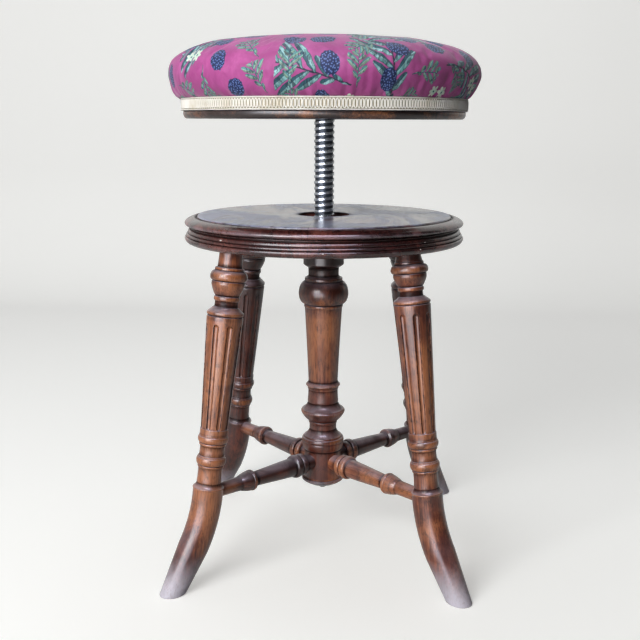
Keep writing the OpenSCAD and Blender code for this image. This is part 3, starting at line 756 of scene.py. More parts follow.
piece(turned_mesh("platform_board", MIDDLE, UP, rows, 288, FRONT_TO_BACK, tone=0.48), "base",
      platform_wood, ["platform"])
print("platform rows:", len(rows), "rim radius:", round(rows[:, 1].max(), 4))

# %% [markdown]
# ## The column and its cap
# The column is bored from above for the screw and from below for the cap's spigot. Its outline is closed at
# the floor of each bore, so the mesh is one skin round solid wood.

# %% Turn the column and cap
SCREW_BORE_R = 12.8 * MM
CAP_HOLE_R, CAP_HOLE_DEEP = 8.1 * MM, 9.3 * MM
CAP_SPIGOT_R = 8.0 * MM
SPIGOT_R = 19.0 * MM
SCREW_TRAVEL = 105.0 * MM
# Tones down the column from the platform; the dark top is painted shade under the platform.
TONE_DROPS = (0, 22, 36, 58, 90, 130, 160, 220)
TONES_AND_SHADE = (0.0, 0.1, 0.35, 0.5, 0.78, 0.78, 0.72, 0.66)

column_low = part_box("column")[0].z
nut_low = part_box("screw_nut")[0].z
bore_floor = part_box("stop_screw")[0].z - SCREW_TRAVEL
outline = rings_of("column", MIDDLE, UP, NUT_BORE_R + 0.1 * MM)
outline = outline[outline[:, 0] < platform_low.z + SAME_LEVEL]
cap_hole_top = column_low + CAP_HOLE_DEEP
column_rows = sand_shut(np.concatenate([
    [[cap_hole_top, 0], [cap_hole_top, CAP_HOLE_R], [column_low, CAP_HOLE_R]], outline,
    [[platform_low.z, SPIGOT_R], [recess_floor, SPIGOT_R], [recess_floor, NUT_BORE_R], [nut_low, NUT_BORE_R],
     [nut_low, SCREW_BORE_R], [bore_floor, SCREW_BORE_R], [bore_floor, 0]]]))


def column_tone_and_shade(t, a):
    """Painted shade, dark just under the platform that shades the column; light on the cone below the bulb,
    and between the two further down.
    """
    return np.interp((platform_low.z - t) / MM, TONE_DROPS, TONES_AND_SHADE)


piece(turned_mesh("centre_column", MIDDLE, UP, column_rows, 96, tone=column_tone_and_shade), "base",
      turned_wood, ["column"])

cap_low, cap_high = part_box("column_cap")
outline = rings_of("column_cap", MIDDLE, UP, 0.5 * MM)
outline = outline[outline[:, 0] < column_low - 0.01 * MM]
cap_rows = sand_shut(np.concatenate([
    [[cap_low.z, 0]], outline, [[column_low, outline[-1, 1]], [column_low, CAP_SPIGOT_R],
                                [cap_high.z, CAP_SPIGOT_R], [cap_high.z, 0]]]))
piece(turned_mesh("column_foot_cap", MIDDLE, UP, cap_rows, 72, tone=0.35), "base",
      turned_wood, ["column_cap"])
print("column rows:", len(column_rows), "cap rows:", len(cap_rows))

# %% [markdown]
# ## The legs
# Each leg is one piece of wood: a turned neck and vase, a fluted shaft, two rings and a bent sabre foot. The
# turned part is carried up the leg's raked axis. Lengths run up this axis from the ring above the foot.

# %% Measure a leg
RAKE = math.radians(8)
RING_R, RING_Z = 161.84 * MM, 104.5 * MM
LEG_LENGTH = 250.34 * MM
FOOT_R, TOE_R = 16.0 * MM, 12.4 * MM
FOOT_NECK = 6.0 * MM
BEND_R, TOE_LEAN = 140.0 * MM, math.radians(32)
NECK_R, NECK_SPARE = 12.2 * MM, 4.0 * MM
ANKLE, ANKLE_R, SHAFT_R = 58.0 * MM, 14.5 * MM, 18.9 * MM
FLUTES = 8
SECTOR = TURN / FLUTES
FLUTE_TOP_R, FLUTE_FOOT_R, FLUTE_DEEP = 3.3 * MM, 2.8 * MM, 2.2 * MM
PLAIN_TOP, PLAIN_FOOT = 0.05, 0.045
ARRIS, ARRIS_WORN = 0.5 * MM, 0.8 * MM
EDGE_RUBBED, EDGE_GRIME_AND_SHADE, HOLLOW_PALE = 0.45, 0.75, 0.25
PLAIN_HALF, PLAIN_HALF_MORE, PLAIN_SPREAD = 0.075, 0.12, 10 * MM
SOLE_ROUND, TOE_EVEN = 1.2 * MM, 30.0 * MM
SCUFF_HIGH, SCUFF_SOLE, SCUFF_FALL = 62.0 * MM, 0.95, 1.25
LEAST_LEG_R = 11.0 * MM
print("leg rake:", round(math.degrees(RAKE), 1), "degrees, flutes:", FLUTES)

# %% [markdown]
# The flutes could be cut with booleans, which leave long thin faces. Here they are cut into the leg's own
# grid by a formula, as a round-nosed tool cuts them: at each height the tool is a circle, and where this
# circle lies inside the shaft the surface follows the circle. The columns of the grid close in on the
# flutes' edges, so that these edges stay sharp for their whole length.

# %% Cut the flutes
def flute_tool(t, shaft_top):
    """The tool's distance from the leg's axis and its radius at places t, and the ends of its way.

    Both change evenly along the flute. Past either end the tool is a ball: its radius there is the square
    root of its end radius squared less the distance past the end squared, and 0 beyond the ball."""
    length = shaft_top - ANKLE
    high = shaft_top - PLAIN_TOP * length - FLUTE_TOP_R
    low = ANKLE + PLAIN_FOOT * length + FLUTE_FOOT_R
    share = np.clip((t - low) / (high - low), 0, 1)
    shaft = ANKLE_R + (SHAFT_R - ANKLE_R) * (low + share * (high - low) - ANKLE) / length
    radius = FLUTE_FOOT_R + (FLUTE_TOP_R - FLUTE_FOOT_R) * share
    past = np.maximum(np.maximum(t - high, low - t), 0)
    return shaft + radius - FLUTE_DEEP, np.sqrt(np.maximum(radius**2 - past**2, 0)), low, high


INSIDE = np.array([-1.0, -0.93, -0.74, -0.4, 0.0, 0.4, 0.74, 0.93])
LAND = np.array([0.0, 0.05, 0.17, 0.33, 0.5, 0.67, 0.83, 0.95])


def flute_columns(half):
    """Angles of the grid's columns from the first flute's centre, for each row's half angle of the flute.

    A flute takes eight columns between -half and +half, and the land beside it eight from +half to the next
    flute's -half."""
    land = half[:, None] + LAND * (SECTOR - 2 * half[:, None])
    one = np.concatenate([half[:, None] * INSIDE, land], axis=1)
    return (one[:, None, :] + SECTOR * np.arange(FLUTES)[None, :, None]).reshape(len(half), -1)


def fluted(t, radius, shaft_top):
    """Radii and angles of the rows of a leg with its flutes, and how proud the flutes make each point.

    For a tool of radius q whose centre is x from the axis, the cut lies at
    x cos d - sqrt(q^2 - x^2 sin^2 d) at an angle d from the flute's middle. The surface is the smaller of
    this and the plain radius, rounded over where the two are within ARRIS of each other. Columns that a
    flute gathers stay PLAIN_HALF from its middle where the wood is plain, and spread out further on."""
    x, q, low, high = flute_tool(t, shaft_top)
    cosine = (radius**2 + x**2 - q**2) / (2 * radius * x)
    half = np.where(q > 0, np.arccos(np.clip(cosine, -1, 1)), 0)
    past = np.maximum(np.maximum(t - high - FLUTE_TOP_R, low - FLUTE_FOOT_R - t), 0)
    half = np.maximum(half, PLAIN_HALF + PLAIN_HALF_MORE * np.clip(past / PLAIN_SPREAD, 0, 1) ** 2)
    angle = flute_columns(half)
    d = (angle + SECTOR / 2) % SECTOR - SECTOR / 2
    inside = q[:, None] ** 2 - (x[:, None] * np.sin(d)) ** 2
    cut = np.where(inside > 0, x[:, None] * np.cos(d) - np.sqrt(np.maximum(inside, 0)), 1.0)
    plain = radius[:, None] + 0 * d
    near = np.maximum(ARRIS - np.abs(cut - plain), 0)
    surface = np.minimum(plain, cut) - near**2 / (4 * ARRIS)
    depth = (plain - surface) / FLUTE_DEEP
    edge = np.exp(-(((np.abs(d) - half[:, None]) * radius[:, None]) / ARRIS_WORN) ** 2)
    cutting = np.clip(q / FLUTE_FOOT_R, 0, 1)[:, None]
    outside = np.abs(d) > half[:, None]
    # Inside a flute its edges read as hollows: grime and painted shade in the corners.
    proud = np.where(outside, EDGE_RUBBED * edge, HOLLOW_PALE * depth - EDGE_GRIME_AND_SHADE * edge)
    return surface, angle, cutting * proud


# %% [markdown]
# The foot follows an arc that leaves the leg's axis and a straight toe, whose generating lines all run on
# until they meet the floor, so the sole is flat. A bent modifier would tilt the sole with the toe.

# %% Shape the foot
def foot_rows(columns):
    """Points of the foot below the turned part, from the floor up, in the plane of the leg and across it.

    The toe's generating line at angle a leaves the end of the bend at radius r0 and narrows by slope; it
    meets the floor at (z0 + r0 cos a sin lean) / (cos lean + slope cos a sin lean). The bend is a torus of
    radius BEND_R about a centre on the outside."""
    centre_x = RING_R + FOOT_NECK * math.sin(RAKE) + BEND_R * math.cos(RAKE)
    centre_z = RING_Z - FOOT_NECK * math.cos(RAKE) + BEND_R * math.sin(RAKE)
    toe_x, toe_z = centre_x - BEND_R * math.cos(TOE_LEAN), centre_z - BEND_R * math.sin(TOE_LEAN)
    slope = (FOOT_R - TOE_R) / (toe_z / math.cos(TOE_LEAN))
    a = columns[None, :]
    reach = (toe_z + FOOT_R * np.cos(a) * math.sin(TOE_LEAN)) \
        / (math.cos(TOE_LEAN) + slope * np.cos(a) * math.sin(TOE_LEAN))
    back = np.concatenate([SOLE_ROUND * (1 - np.cos(np.linspace(0, math.pi / 2, 6)))[:-1],
                           np.linspace(SOLE_ROUND, TOE_EVEN, 14)[:-1]])[:, None]
    down = np.concatenate([reach - back, np.linspace(1, 0, 5, endpoint=False)[:, None] * (reach - TOE_EVEN)])
    from_floor = reach - down
    worn = SOLE_ROUND * (1 - np.sqrt(1 - np.clip(1 - from_floor / SOLE_ROUND, 0, 1) ** 2))
    thick = FOOT_R - slope * down - worn
    out = toe_x + down * math.sin(TOE_LEAN) + thick * np.cos(a) * math.cos(TOE_LEAN)
    height = toe_z - down * math.cos(TOE_LEAN) + thick * np.cos(a) * math.sin(TOE_LEAN)
    height[0] = 0.0
    toe = np.stack([out, np.maximum(height, 0), thick * np.sin(a)], axis=-1)
    lean = np.linspace(TOE_LEAN, RAKE, 12)[:-1, None]
    bend = np.stack([centre_x - BEND_R * np.cos(lean) + FOOT_R * np.cos(a) * np.cos(lean),
                     centre_z - BEND_R * np.sin(lean) + FOOT_R * np.cos(a) * np.sin(lean),
                     FOOT_R * np.sin(a) + 0 * lean], axis=-1)
    return np.concatenate([toe, bend])


# %% [markdown]
# Each leg is then one grid: the foot's rows, and above them the fluted outline. The front right leg was
# turned to another pattern than the other three, with a shorter neck and vase, and the front left one looks
# as if its polish had been renewed on a part of its shaft.

# %% Join and place the legs
def leg(name, body_node, azimuth, turn, neck, vase, tone_at):
    """One leg: its outline is read in its own frame, fluted, joined to the foot and stood at its azimuth."""
    azimuth, turn = math.radians(azimuth), math.radians(turn)
    out = np.array([math.cos(azimuth), math.sin(azimuth), 0.0])
    across = np.array([-math.sin(azimuth), math.cos(azimuth), 0.0])
    axis = math.cos(RAKE) * UP - math.sin(RAKE) * out
    side = math.cos(RAKE) * out + math.sin(RAKE) * UP
    origin = RING_R * out + RING_Z * UP
    outline = rings_of(body_node, origin, axis, LEAST_LEG_R)
    top = LEG_LENGTH + NECK_SPARE
    outline = outline[(outline[:, 0] > -FOOT_NECK + 1e-4) & (outline[:, 0] < LEG_LENGTH - 0.5 * MM)]
    outline = np.concatenate([[[-FOOT_NECK, FOOT_R]], outline, [[LEG_LENGTH, NECK_R], [top, NECK_R]]])
    shaft_top = LEG_LENGTH - neck - vase
    low, high = flute_tool(np.array([ANKLE]), shaft_top)[2:]
    fine = ((low - FLUTE_FOOT_R - 0.5 * MM, low + 0.5 * MM, 0.45 * MM),
            (high - 0.5 * MM, high + FLUTE_TOP_R + 0.5 * MM, 0.5 * MM), (ANKLE, shaft_top, 4 * MM))
    rows = sand(outline, fine=fine)
    radius, angle, proud = fluted(rows[:, 0], rows[:, 1], shaft_top)
    angle = angle + turn
    turned = origin + rows[:, 0, None, None] * axis + radius[..., None] * (
        np.cos(angle)[..., None] * side + np.sin(angle)[..., None] * across)
    foot = foot_rows(angle[0])
    foot = foot[..., :1] * out + foot[..., 1:2] * UP + foot[..., 2:] * across
    grid = np.concatenate([foot, turned])
    sole = grid[0].mean(axis=0)
    mesh = grid_mesh(name, grid, sole * [1, 1, 0], origin + top * axis)
    places = points_of(mesh)
    log = (places - origin) @ np.stack([side, across, axis], axis=1)
    proud = np.concatenate([np.zeros(foot.shape[:2]), proud + rows[:, 2, None]])
    scuff = SCUFF_SOLE - SCUFF_FALL * np.clip(places[:, 2] / SCUFF_HIGH, 0, 1)
    mark(mesh, log + azimuth, proud, tone_at(log, places), scuff)
    piece(mesh, "base", turned_wood, [body_node])


RENEWED_FROM, RENEWED_TO = 112.0 * MM, 178.0 * MM
RENEWED_TONE, RENEWED_LIGHTER = 0.52, 0.28
# Painted shade darkens the legs towards the top, under the platform.
TOP_SHADE, TOP_FROM, TOP_OVER = 0.15, 0.2, 0.15


def plain_tone_shaded_at_top(level):
    """The same tone all over a leg, apart from painted shade that darkens it slowly towards the top, under
    the platform.
    """
    return lambda log, places: level - TOP_SHADE * np.clip((places[:, 2] - TOP_FROM) / TOP_OVER, 0, 1)


def jointed_tone(log, places):
    """Lighter wood between two straight lines across the shaft, as if its polish had been renewed."""
    renewed = (log[:, 2] > RENEWED_FROM) & (log[:, 2] < RENEWED_TO)
    return RENEWED_TONE + np.where(renewed, RENEWED_LIGHTER, 0.0)


# The back legs' darker tone is painted shade.
for corner, azimuth, turn, neck, vase, tone_at in (
        ("front_left", -135, 27, 18 * MM, 52 * MM, jointed_tone),
        ("front_right", -45, 7, 9.5 * MM, 45 * MM, plain_tone_shaded_at_top(0.66)),
        ("back_left", 135, 0, 18 * MM, 52 * MM, plain_tone_shaded_at_top(0.42)),
        ("back_right", 45, 10, 18 * MM, 52 * MM, plain_tone_shaded_at_top(0.42))):
    leg(f"leg_{corner}_turned", f"leg_{corner}", azimuth, turn, neck, vase, tone_at)

# %% [markdown]
# ## The stretchers
# Four turned bars tie the feet to the column's block. Each ends inside the block and inside the foot.

# %% Turn the stretchers
STRETCHER_Z = 98.1 * MM
STRETCHER_START, STRETCHER_START_R = 17.0 * MM, 9.24 * MM
IN_BLOCK = 22.0 * MM
STRETCHER_REACH = 146.58 * MM
TENON_SHOWN, TENON_R = 9.0 * MM, 7.4 * MM


def stretcher(body_node, azimuth, tone):
    """A stretcher's outline runs from inside the column's block to inside the foot."""
    axis = np.array([math.cos(azimuth), math.sin(azimuth), 0.0])
    origin = STRETCHER_Z * UP
    outline = rings_of(body_node, origin, axis, TENON_R + 0.2 * MM)
    outline = outline[outline[:, 0] > IN_BLOCK]
    end = STRETCHER_REACH + TENON_SHOWN
    rows = sand_shut(np.concatenate([
        [[STRETCHER_START, 0], [STRETCHER_START, STRETCHER_START_R]], outline,
        [[STRETCHER_REACH, TENON_R], [end, TENON_R], [end, 0]]]))
    mesh = turned_mesh(f"{body_node}_turned", origin, axis, rows, 72, tone=tone)
    piece(mesh, "base", turned_wood, [body_node])


for corner, azimuth, tone in (("front_left", -135, 0.32), ("front_right", -45, 0.85),
                              ("back_left", 135, 0.5), ("back_right", 45, 0.4)):
    stretcher(f"stretcher_{corner}", math.radians(azimuth), tone)

# %% [markdown]
# ## The seat board
# A round board under the stuffing. Only its rounded nose shows below the braid, brown and scratched where
# coats and hands rub it, and dark underneath. From below one sees the iron plate let into it. The tacks'
# holes are left out of the outline.

# %% Turn the seat board
PLATE_HOLE_R, HUB_HOLE_R = 45.3 * MM, 17.3 * MM
PLATE_T, HUB_H = 4.0 * MM, 13.3 * MM
NOSE_FROM_R, TACKS_FROM = 142.0 * MM, 492.7 * MM
board_low, board_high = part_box("seat_board")
outline = rings_of("seat_board", MIDDLE, UP, NOSE_FROM_R)
outline = outline[(outline[:, 0] < TACKS_FROM) | (outline[:, 0] > board_high.z - 0.1 * MM)]
plate_top = board_low.z + PLATE_T
rows = sand_shut(np.concatenate([
    [[plate_top + HUB_H, 0], [plate_top + HUB_H, HUB_HOLE_R], [plate_top, HUB_HOLE_R],
     [plate_top, PLATE_HOLE_R], [board_low.z, PLATE_HOLE_R]], outline, [[board_high.z, 0]]]))
SEAT_GRAIN = np.array([[0, 0, 1.0], [1.0, 0, 0], [0, 1.0, 0]]).T


def nose_tone(t, a):
    """Lighter on the left, towards the angle pi, and dark elsewhere."""
    return 0.12 + 0.5 * np.clip(-np.cos(a), 0, 1) ** 2


piece(turned_mesh("seat_board_turned", MIDDLE, UP, rows, 240, SEAT_GRAIN, tone=nose_tone), "seat",
      board_wood, ["seat_board"])
print("board rows:", len(rows))

# %% [markdown]
# ## The lead screw
# The seat turns on a steel screw with a right-hand thread, four turns to the inch, in a nut let into the
# platform. Its long thread is one skin of rings whose radius depends on the height and on the angle
# together, so the rings add up to a helix and no thread has to be joined to a core.

# %% Cut the lead screw
PITCH = 6.35 * MM
CREST_R, ROOT_R = 11.1 * MM, 9.8 * MM
RINGS_PER_TURN, SCREW_COLUMNS = 20, 64
FLANK_FROM, FLANK_LONG = 0.36, 0.28
SCREW_CHAMFER, PLAIN_END = 1.6 * MM, 12.0 * MM


def thread_height(turns):
    """1 on the crest and 0 in the root: with d = |2 frac - 1|, the smooth step of (d - from) / flank."""
    d = np.abs(2 * (turns % 1) - 1)
    s = np.clip((d - FLANK_FROM) / FLANK_LONG, 0, 1)
    return s * s * (3 - 2 * s)


def screw_grid(low, high):
    """Radius at height z and angle a: root + (crest - root) thread_height(z / pitch - a / one turn).

    A right-hand thread climbs as the angle grows. The thread runs out below the hub, and the lower end is
    chamfered."""
    z = np.linspace(low, high, int((high - low) / PITCH * RINGS_PER_TURN))[:, None]
    angle = circle(SCREW_COLUMNS)[None, :]
    height = thread_height(z / PITCH - angle / TURN)
    height = np.maximum(height, np.clip((z - (high - PLAIN_END)) / PITCH, 0, 1))
    radius = ROOT_R + (CREST_R - ROOT_R) * height
    radius = np.minimum(radius, CREST_R - SCREW_CHAMFER + (z - low))
    grid = np.stack([radius * np.cos(angle), radius * np.sin(angle), z + 0 * angle], axis=-1)
    return grid, height


screw_low, screw_high = (corner.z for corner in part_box("lead_screw"))
grid, height = screw_grid(screw_low, screw_high)
mesh = grid_mesh("lead_screw_threaded", grid, [0, 0, screw_low], [0, 0, screw_high])
store(mesh, "crest", np.concatenate([height.ravel(), [1, 1]]))

# %% [markdown]
# Old steel is never one grey. Oil and dust turn the roots black, the crests are rubbed bright by the nut,
# and brown stains lie in between. The iron castings and the small screws get quieter versions of the same
# recipe, and they keep their CAD meshes.

# %% Mix the metals
RUST = paint("#4a352a")


def old_metal(name, dark, bright, roughness, crest=None):
    """Metal between a dark and a bright tone by noise, brighter and smoother where the stored crest is 1."""
    mix = Recipe(name)
    stain = mix.noise(mix.here(), 90.0, 4.0, 0.65, 0.5)
    fine = mix.noise(mix.stretch(mix.here(), (900.0, 900.0, 2600.0)), 1.0, 2.0)
    share = mix.add(stain, mix.swing(fine, 0.5))
    if crest:
        share = mix.add(mix.times(share, 0.55), mix.times(mix.stored(crest), 0.5))
    color = mix.blend(mix.step(share, 0.3, 0.85), paint(dark), paint(bright))
    color = mix.blend(mix.step(stain, 0.56, 0.7, 0.0, 0.5), color, RUST)
    shine = mix.step(share, 0.25, 0.9, roughness + 0.25, roughness)
    relief = mix.bump(mix.add(fine, stain), 0.2, 0.0002)
    return mix.finish(Base_Color=color, Metallic=0.92, Roughness=shine, Normal=relief)


screw_steel = old_metal("screw_steel", "#484d54", "#dfe4ea", 0.24, "crest")
small_steel = old_metal("small_steel", "#3f3d3a", "#8f8b84", 0.36)
cast_iron = old_metal("cast_iron", "#141416", "#3c3d40", 0.5)
piece(mesh, "seat", screw_steel, ["lead_screw"])
for metal, names in ((cast_iron, ("screw_nut", "stop_washer", "seat_plate")),
                     (small_steel, ("nut_screws", "stop_screw", "plate_screws", "hub_pin", "cover_tacks"))):
    for name in names:
        for slot in nodes[name].material_slots:
            slot.material = metal
print("thread turns:", round((screw_high - screw_low) / PITCH, 1))

# %% [markdown]
# ## The stuffed seat
# A crown of stuffing under one piece of printed cotton, which is drawn down over the board's edge, folded in
# small gathers and tacked under the braid. It could be sculpted, but cloth makes its own folds: here the
# outer skin is started a little too small, its lowest rows are pinned in a rippled line, and Blender's Cloth
# blows it up from inside for twenty frames, with more cloth near the hem than there is room for. What this
# adds round the rim is kept and laid over the CAD solid's own outline, so the seat keeps its true size.

# %% Outline of the cushion
BRAID_LOW, BRAID_TOP = (corner.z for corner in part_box("gimp_braid"))
SKIRT_LOW, CROWN_TOP = (corner.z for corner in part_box("seat_cover"))
CUSHION_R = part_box("seat_cover")[1].x
BOARD_TOP = board_high.z
BELLY_Z = 527.7 * MM
SKIRT_IN_R, SKIRT_R = 150.3 * MM, 151.1 * MM
BELLY_POWER, CROWN_POWER, CROWN_FALL = 1.44, 3.5, 0.41


def cushion_side():
    """Outline (r, z) of the stuffed part from the braid's top to the crown, as many short chords.

    The belly follows r = skirt + (full - skirt) (1 - (1 - w) ** b) ** (1 / b) for w from 0 to 1 over its
    height. The crown follows r = full cos a and z = belly + rise (1 - cos(a) ** c) ** f."""
    w = np.linspace(0, 1, 400)
    belly = np.stack([SKIRT_R + (CUSHION_R - SKIRT_R) * (1 - (1 - w) ** BELLY_POWER) ** (1 / BELLY_POWER),
                      BRAID_TOP + (BELLY_Z - BRAID_TOP) * w], axis=1)
    a = np.linspace(0, math.pi / 2, 2400)[1:]
    c = np.clip(np.cos(a), 0, 1)
    crown = np.stack([CUSHION_R * c, BELLY_Z + (CROWN_TOP - BELLY_Z) * (1 - c ** CROWN_POWER) ** CROWN_FALL],
                     axis=1)
    side = np.concatenate([belly, crown])
    side[-1, 0] = 0.0
    return side


side = cushion_side()
side_length = along(side)[-1]
print("cloth from hem to crown:", round(side_length, 4), "m")

# %% [markdown]
# The rows of the grid stand closer together near the hem, where the folds are, and wider over the crown. The
# skin is this outline carried round the seat.

# %% Lay out the skin of the cover
SIM_COLUMNS, SIM_ROWS = 400, 58
rng = np.random.default_rng(7)


def row_places(count):
    """Lengths from the hem of the rows: steps grow evenly from the hem to the crown."""
    step = np.linspace(0.35, 1.5, count - 1)
    return np.concatenate([[0.0], np.cumsum(step)]) / step.sum() * side_length


def ripple(angle, least, most, count):
    """A sum of sine waves round the rim with whole numbers of turns and seeded heights and shifts."""
    turns = rng.integers(least, most, count)
    shift = rng.uniform(0, TURN, count)
    height_ = rng.normal(0, 1, count) / math.sqrt(count)
    return (height_[:, None] * np.sin(turns[:, None] * angle + shift[:, None])).sum(axis=0)


def skin(outline, angle):
    """Rows of the outline carried round Z: x = r cos a, y = r sin a, z = z."""
    r, z = outline[:, 0, None], outline[:, 1, None]
    return np.stack([r * np.cos(angle), r * np.sin(angle), z + 0 * angle], axis=-1)


def outward(outline, angle):
    """The outward normal at each point of the skin: (dz cos a, dz sin a, -dr) for a step (dr, dz)."""
    step = np.gradient(outline, axis=0)
    step = step / np.linalg.norm(step, axis=1)[:, None]
    return np.stack([step[:, 1:] * np.cos(angle), step[:, 1:] * np.sin(angle), -step[:, :1] + 0 * angle],
                    axis=-1)


angles = circle(SIM_COLUMNS)
places = row_places(SIM_ROWS)
rest = sample(side, places)[:-1]
rest_skin = skin(rest, angles)
normals = outward(rest, angles)
print("skin of", rest_skin.shape[0], "rows and", rest_skin.shape[1], "columns")

# %% [markdown]
# The skin starts a little inside its place, with its pinned hem rippled by a few seeded waves. Cloth that
# may grow near the hem then has to fold, as gathered cotton does.

# %% Blow the cover up from inside
SIM_FRAMES = 20
PRESSURE = 4.0
START_IN, GATHER_HIGH, GATHER_FADE = 2.6 * MM, 0.9 * MM, 14 * MM
SPARE_CLOTH_FADE = 30 * MM
FOLD_CAP = 4.0 * MM
CLOTH = {"quality": 6, "mass": 0.15, "tension_stiffness": 18, "compression_stiffness": 18,
         "shear_stiffness": 8, "bending_stiffness": 0.35, "vertex_group_mass": "pinned",
         "vertex_group_shrink": "growing", "shrink_min": 0.0, "shrink_max": -0.07, "use_pressure": True,
         "uniform_pressure_force": PRESSURE}


def simulate_cover():
    """Movement of every point of the skin along its normal, in metres, from the cloth simulation."""
    gather = ripple(angles, 34, 120, 26) * (0.6 + 0.4 * ripple(angles, 2, 9, 5))
    fade = np.exp(-places[:-1] / GATHER_FADE)[:, None]
    start = rest_skin + normals * (GATHER_HIGH * gather * fade - START_IN * (1 - fade))[..., None]
    mesh_ = grid_mesh("cover_skin", start, None, [0, 0, start[-1, 0, 2]])
    skin_ = add_object("cover_skin", mesh_)
    pinned, growing = skin_.vertex_groups.new(name="pinned"), skin_.vertex_groups.new(name="growing")
    pinned.add(list(range(2 * SIM_COLUMNS)), 1.0, "REPLACE")
    for row in range(SIM_ROWS - 1):
        growing.add(list(range(row * SIM_COLUMNS, (row + 1) * SIM_COLUMNS)),
                    float(np.exp(-places[row] / SPARE_CLOTH_FADE)), "REPLACE")
    cloth = skin_.modifiers.new("cloth", "CLOTH")
    for key, value in CLOTH.items():
        setattr(cloth.settings, key, value)
    cloth.settings.effector_weights.gravity = 0
    cloth.collision_settings.use_collision = False
    cloth.point_cache.frame_start, cloth.point_cache.frame_end = 1, SIM_FRAMES
    for frame_number in range(1, SIM_FRAMES + 1):
        bpy.context.scene.frame_set(frame_number)
    settled = skin_.evaluated_get(bpy.context.evaluated_depsgraph_get()).to_mesh()
    moved = points_of(settled)[:rest_skin.size // 3].reshape(rest_skin.shape) - rest_skin
    bpy.context.scene.frame_set(1)
    bpy.data.objects.remove(skin_)
    bpy.data.meshes.remove(mesh_)
    return (moved * normals).sum(axis=-1)


swell = simulate_cover()
folds = swell - swell.mean(axis=1, keepdims=True)
print("cover swelled by", round(swell.mean() * 1000, 2), "mm; folds from",
      round(folds.min() * 1000, 2), "to", round(folds.max() * 1000, 2), "mm")
folds = FOLD_CAP * np.tanh(folds / FOLD_CAP)

# %% [markdown]
# The folds are then carried to a grid twice as fine, and short creases are pressed in: each is a slanted
# valley with soft shoulders that starts under the braid and fades out up the side. They are deepest at the
# right, where the cloth is gathered hardest, and at the left it hangs a little lower and fuller. Each point
# keeps its place on the flat cloth for the print.

# %% Lay the folds over the outline
CREASES = 90
CREASE_LONG = (12 * MM, 34 * MM)
CREASE_WIDE = (1.5 * MM, 3.4 * MM)
CREASE_DEEP = (0.25 * MM, 1.15 * MM)
CREASE_SLANT, CREASE_WIDENS, CREASE_FADE = 0.35, 0.8, 0.7
SHOULDER_HIGH, SHOULDER_WIDE = 0.35, 2.3
GATHERED, GATHERED_WIDE, GATHERED_MORE = math.radians(-28), 0.5, 1.3
FULL_LEFT, FULL_LEFT_WIDE, FULL_LEFT_DEEP = math.pi, 0.75, 3.0 * MM
FULL_LEFT_UP, FULL_LEFT_HIGH = 9 * MM, 10 * MM


def finer(values):
    """Twice the rows and columns: between four neighbours a, b, c, d comes (9 b + 9 c - a - d) / 16."""
    wide = (9 * (values + np.roll(values, -1, 1)) - np.roll(values, 1, 1) - np.roll(values, -2, 1)) / 16
    values = np.stack([values, wide], axis=2).reshape(values.shape[0], -1)
    ends = np.concatenate([2 * values[:1] - values[1:2], values, 2 * values[-1:] - values[-2:-1]])
    tall = (9 * (ends[1:-2] + ends[2:-1]) - ends[:-3] - ends[3:]) / 16
    return np.concatenate([np.stack([values[:-1], tall], axis=1).reshape(-1, values.shape[1]), values[-1:]])


def creases(angle, up):
    """The sum of seeded valleys: -deep exp(-(across / wide)^2) along a slanted line that fades out, with
    shoulders a third as high beside it.

    They are deeper by up to GATHERED_MORE of themselves round the azimuth GATHERED."""
    total = np.zeros((len(up), len(angle)))
    centre = rng.uniform(0, TURN, CREASES)
    long_, wide, deep = (rng.uniform(*span, CREASES) for span in (CREASE_LONG, CREASE_WIDE, CREASE_DEEP))
    slant = rng.normal(0, CREASE_SLANT, CREASES)
    for c, l, w, d, s in zip(centre, long_, wide, deep, slant):
        turn = (angle - c + math.pi) % TURN - math.pi
        across = turn[None, :] * CUSHION_R - s * up[:, None]
        width = w * (1 + CREASE_WIDENS * up[:, None] / l)
        fade = np.clip(1 - up[:, None] / l, 0, 1) ** CREASE_FADE
        beside = (c - GATHERED + math.pi) % TURN - math.pi
        fade = fade * (1 + GATHERED_MORE * math.exp(-(beside / GATHERED_WIDE) ** 2))
        shoulder = SHOULDER_HIGH * np.exp(-(across / (SHOULDER_WIDE * width)) ** 2)
        total += d * fade * (shoulder - np.exp(-(across / width) ** 2))
    return total


fine_places = finer(np.repeat(places[:-1, None], 4, axis=1))[:, 0]
fine_angles = circle(2 * SIM_COLUMNS)
fine_side = sample(side, fine_places)
relief = finer(folds) + creases(fine_angles, fine_places)
left = np.exp(-(((fine_angles - FULL_LEFT) / FULL_LEFT_WIDE) ** 2))
low = np.exp(-(((fine_places - FULL_LEFT_UP) / FULL_LEFT_HIGH) ** 2))[:, None]
relief = relief + FULL_LEFT_DEEP * left * low
relief *= np.clip(fine_places / (3 * MM), 0.12, 1)[:, None]
cover = skin(fine_side, fine_angles) + outward(fine_side, fine_angles) * relief[..., None]
flat = skin(np.stack([side_length - fine_places, 0 * fine_places], axis=1), fine_angles)

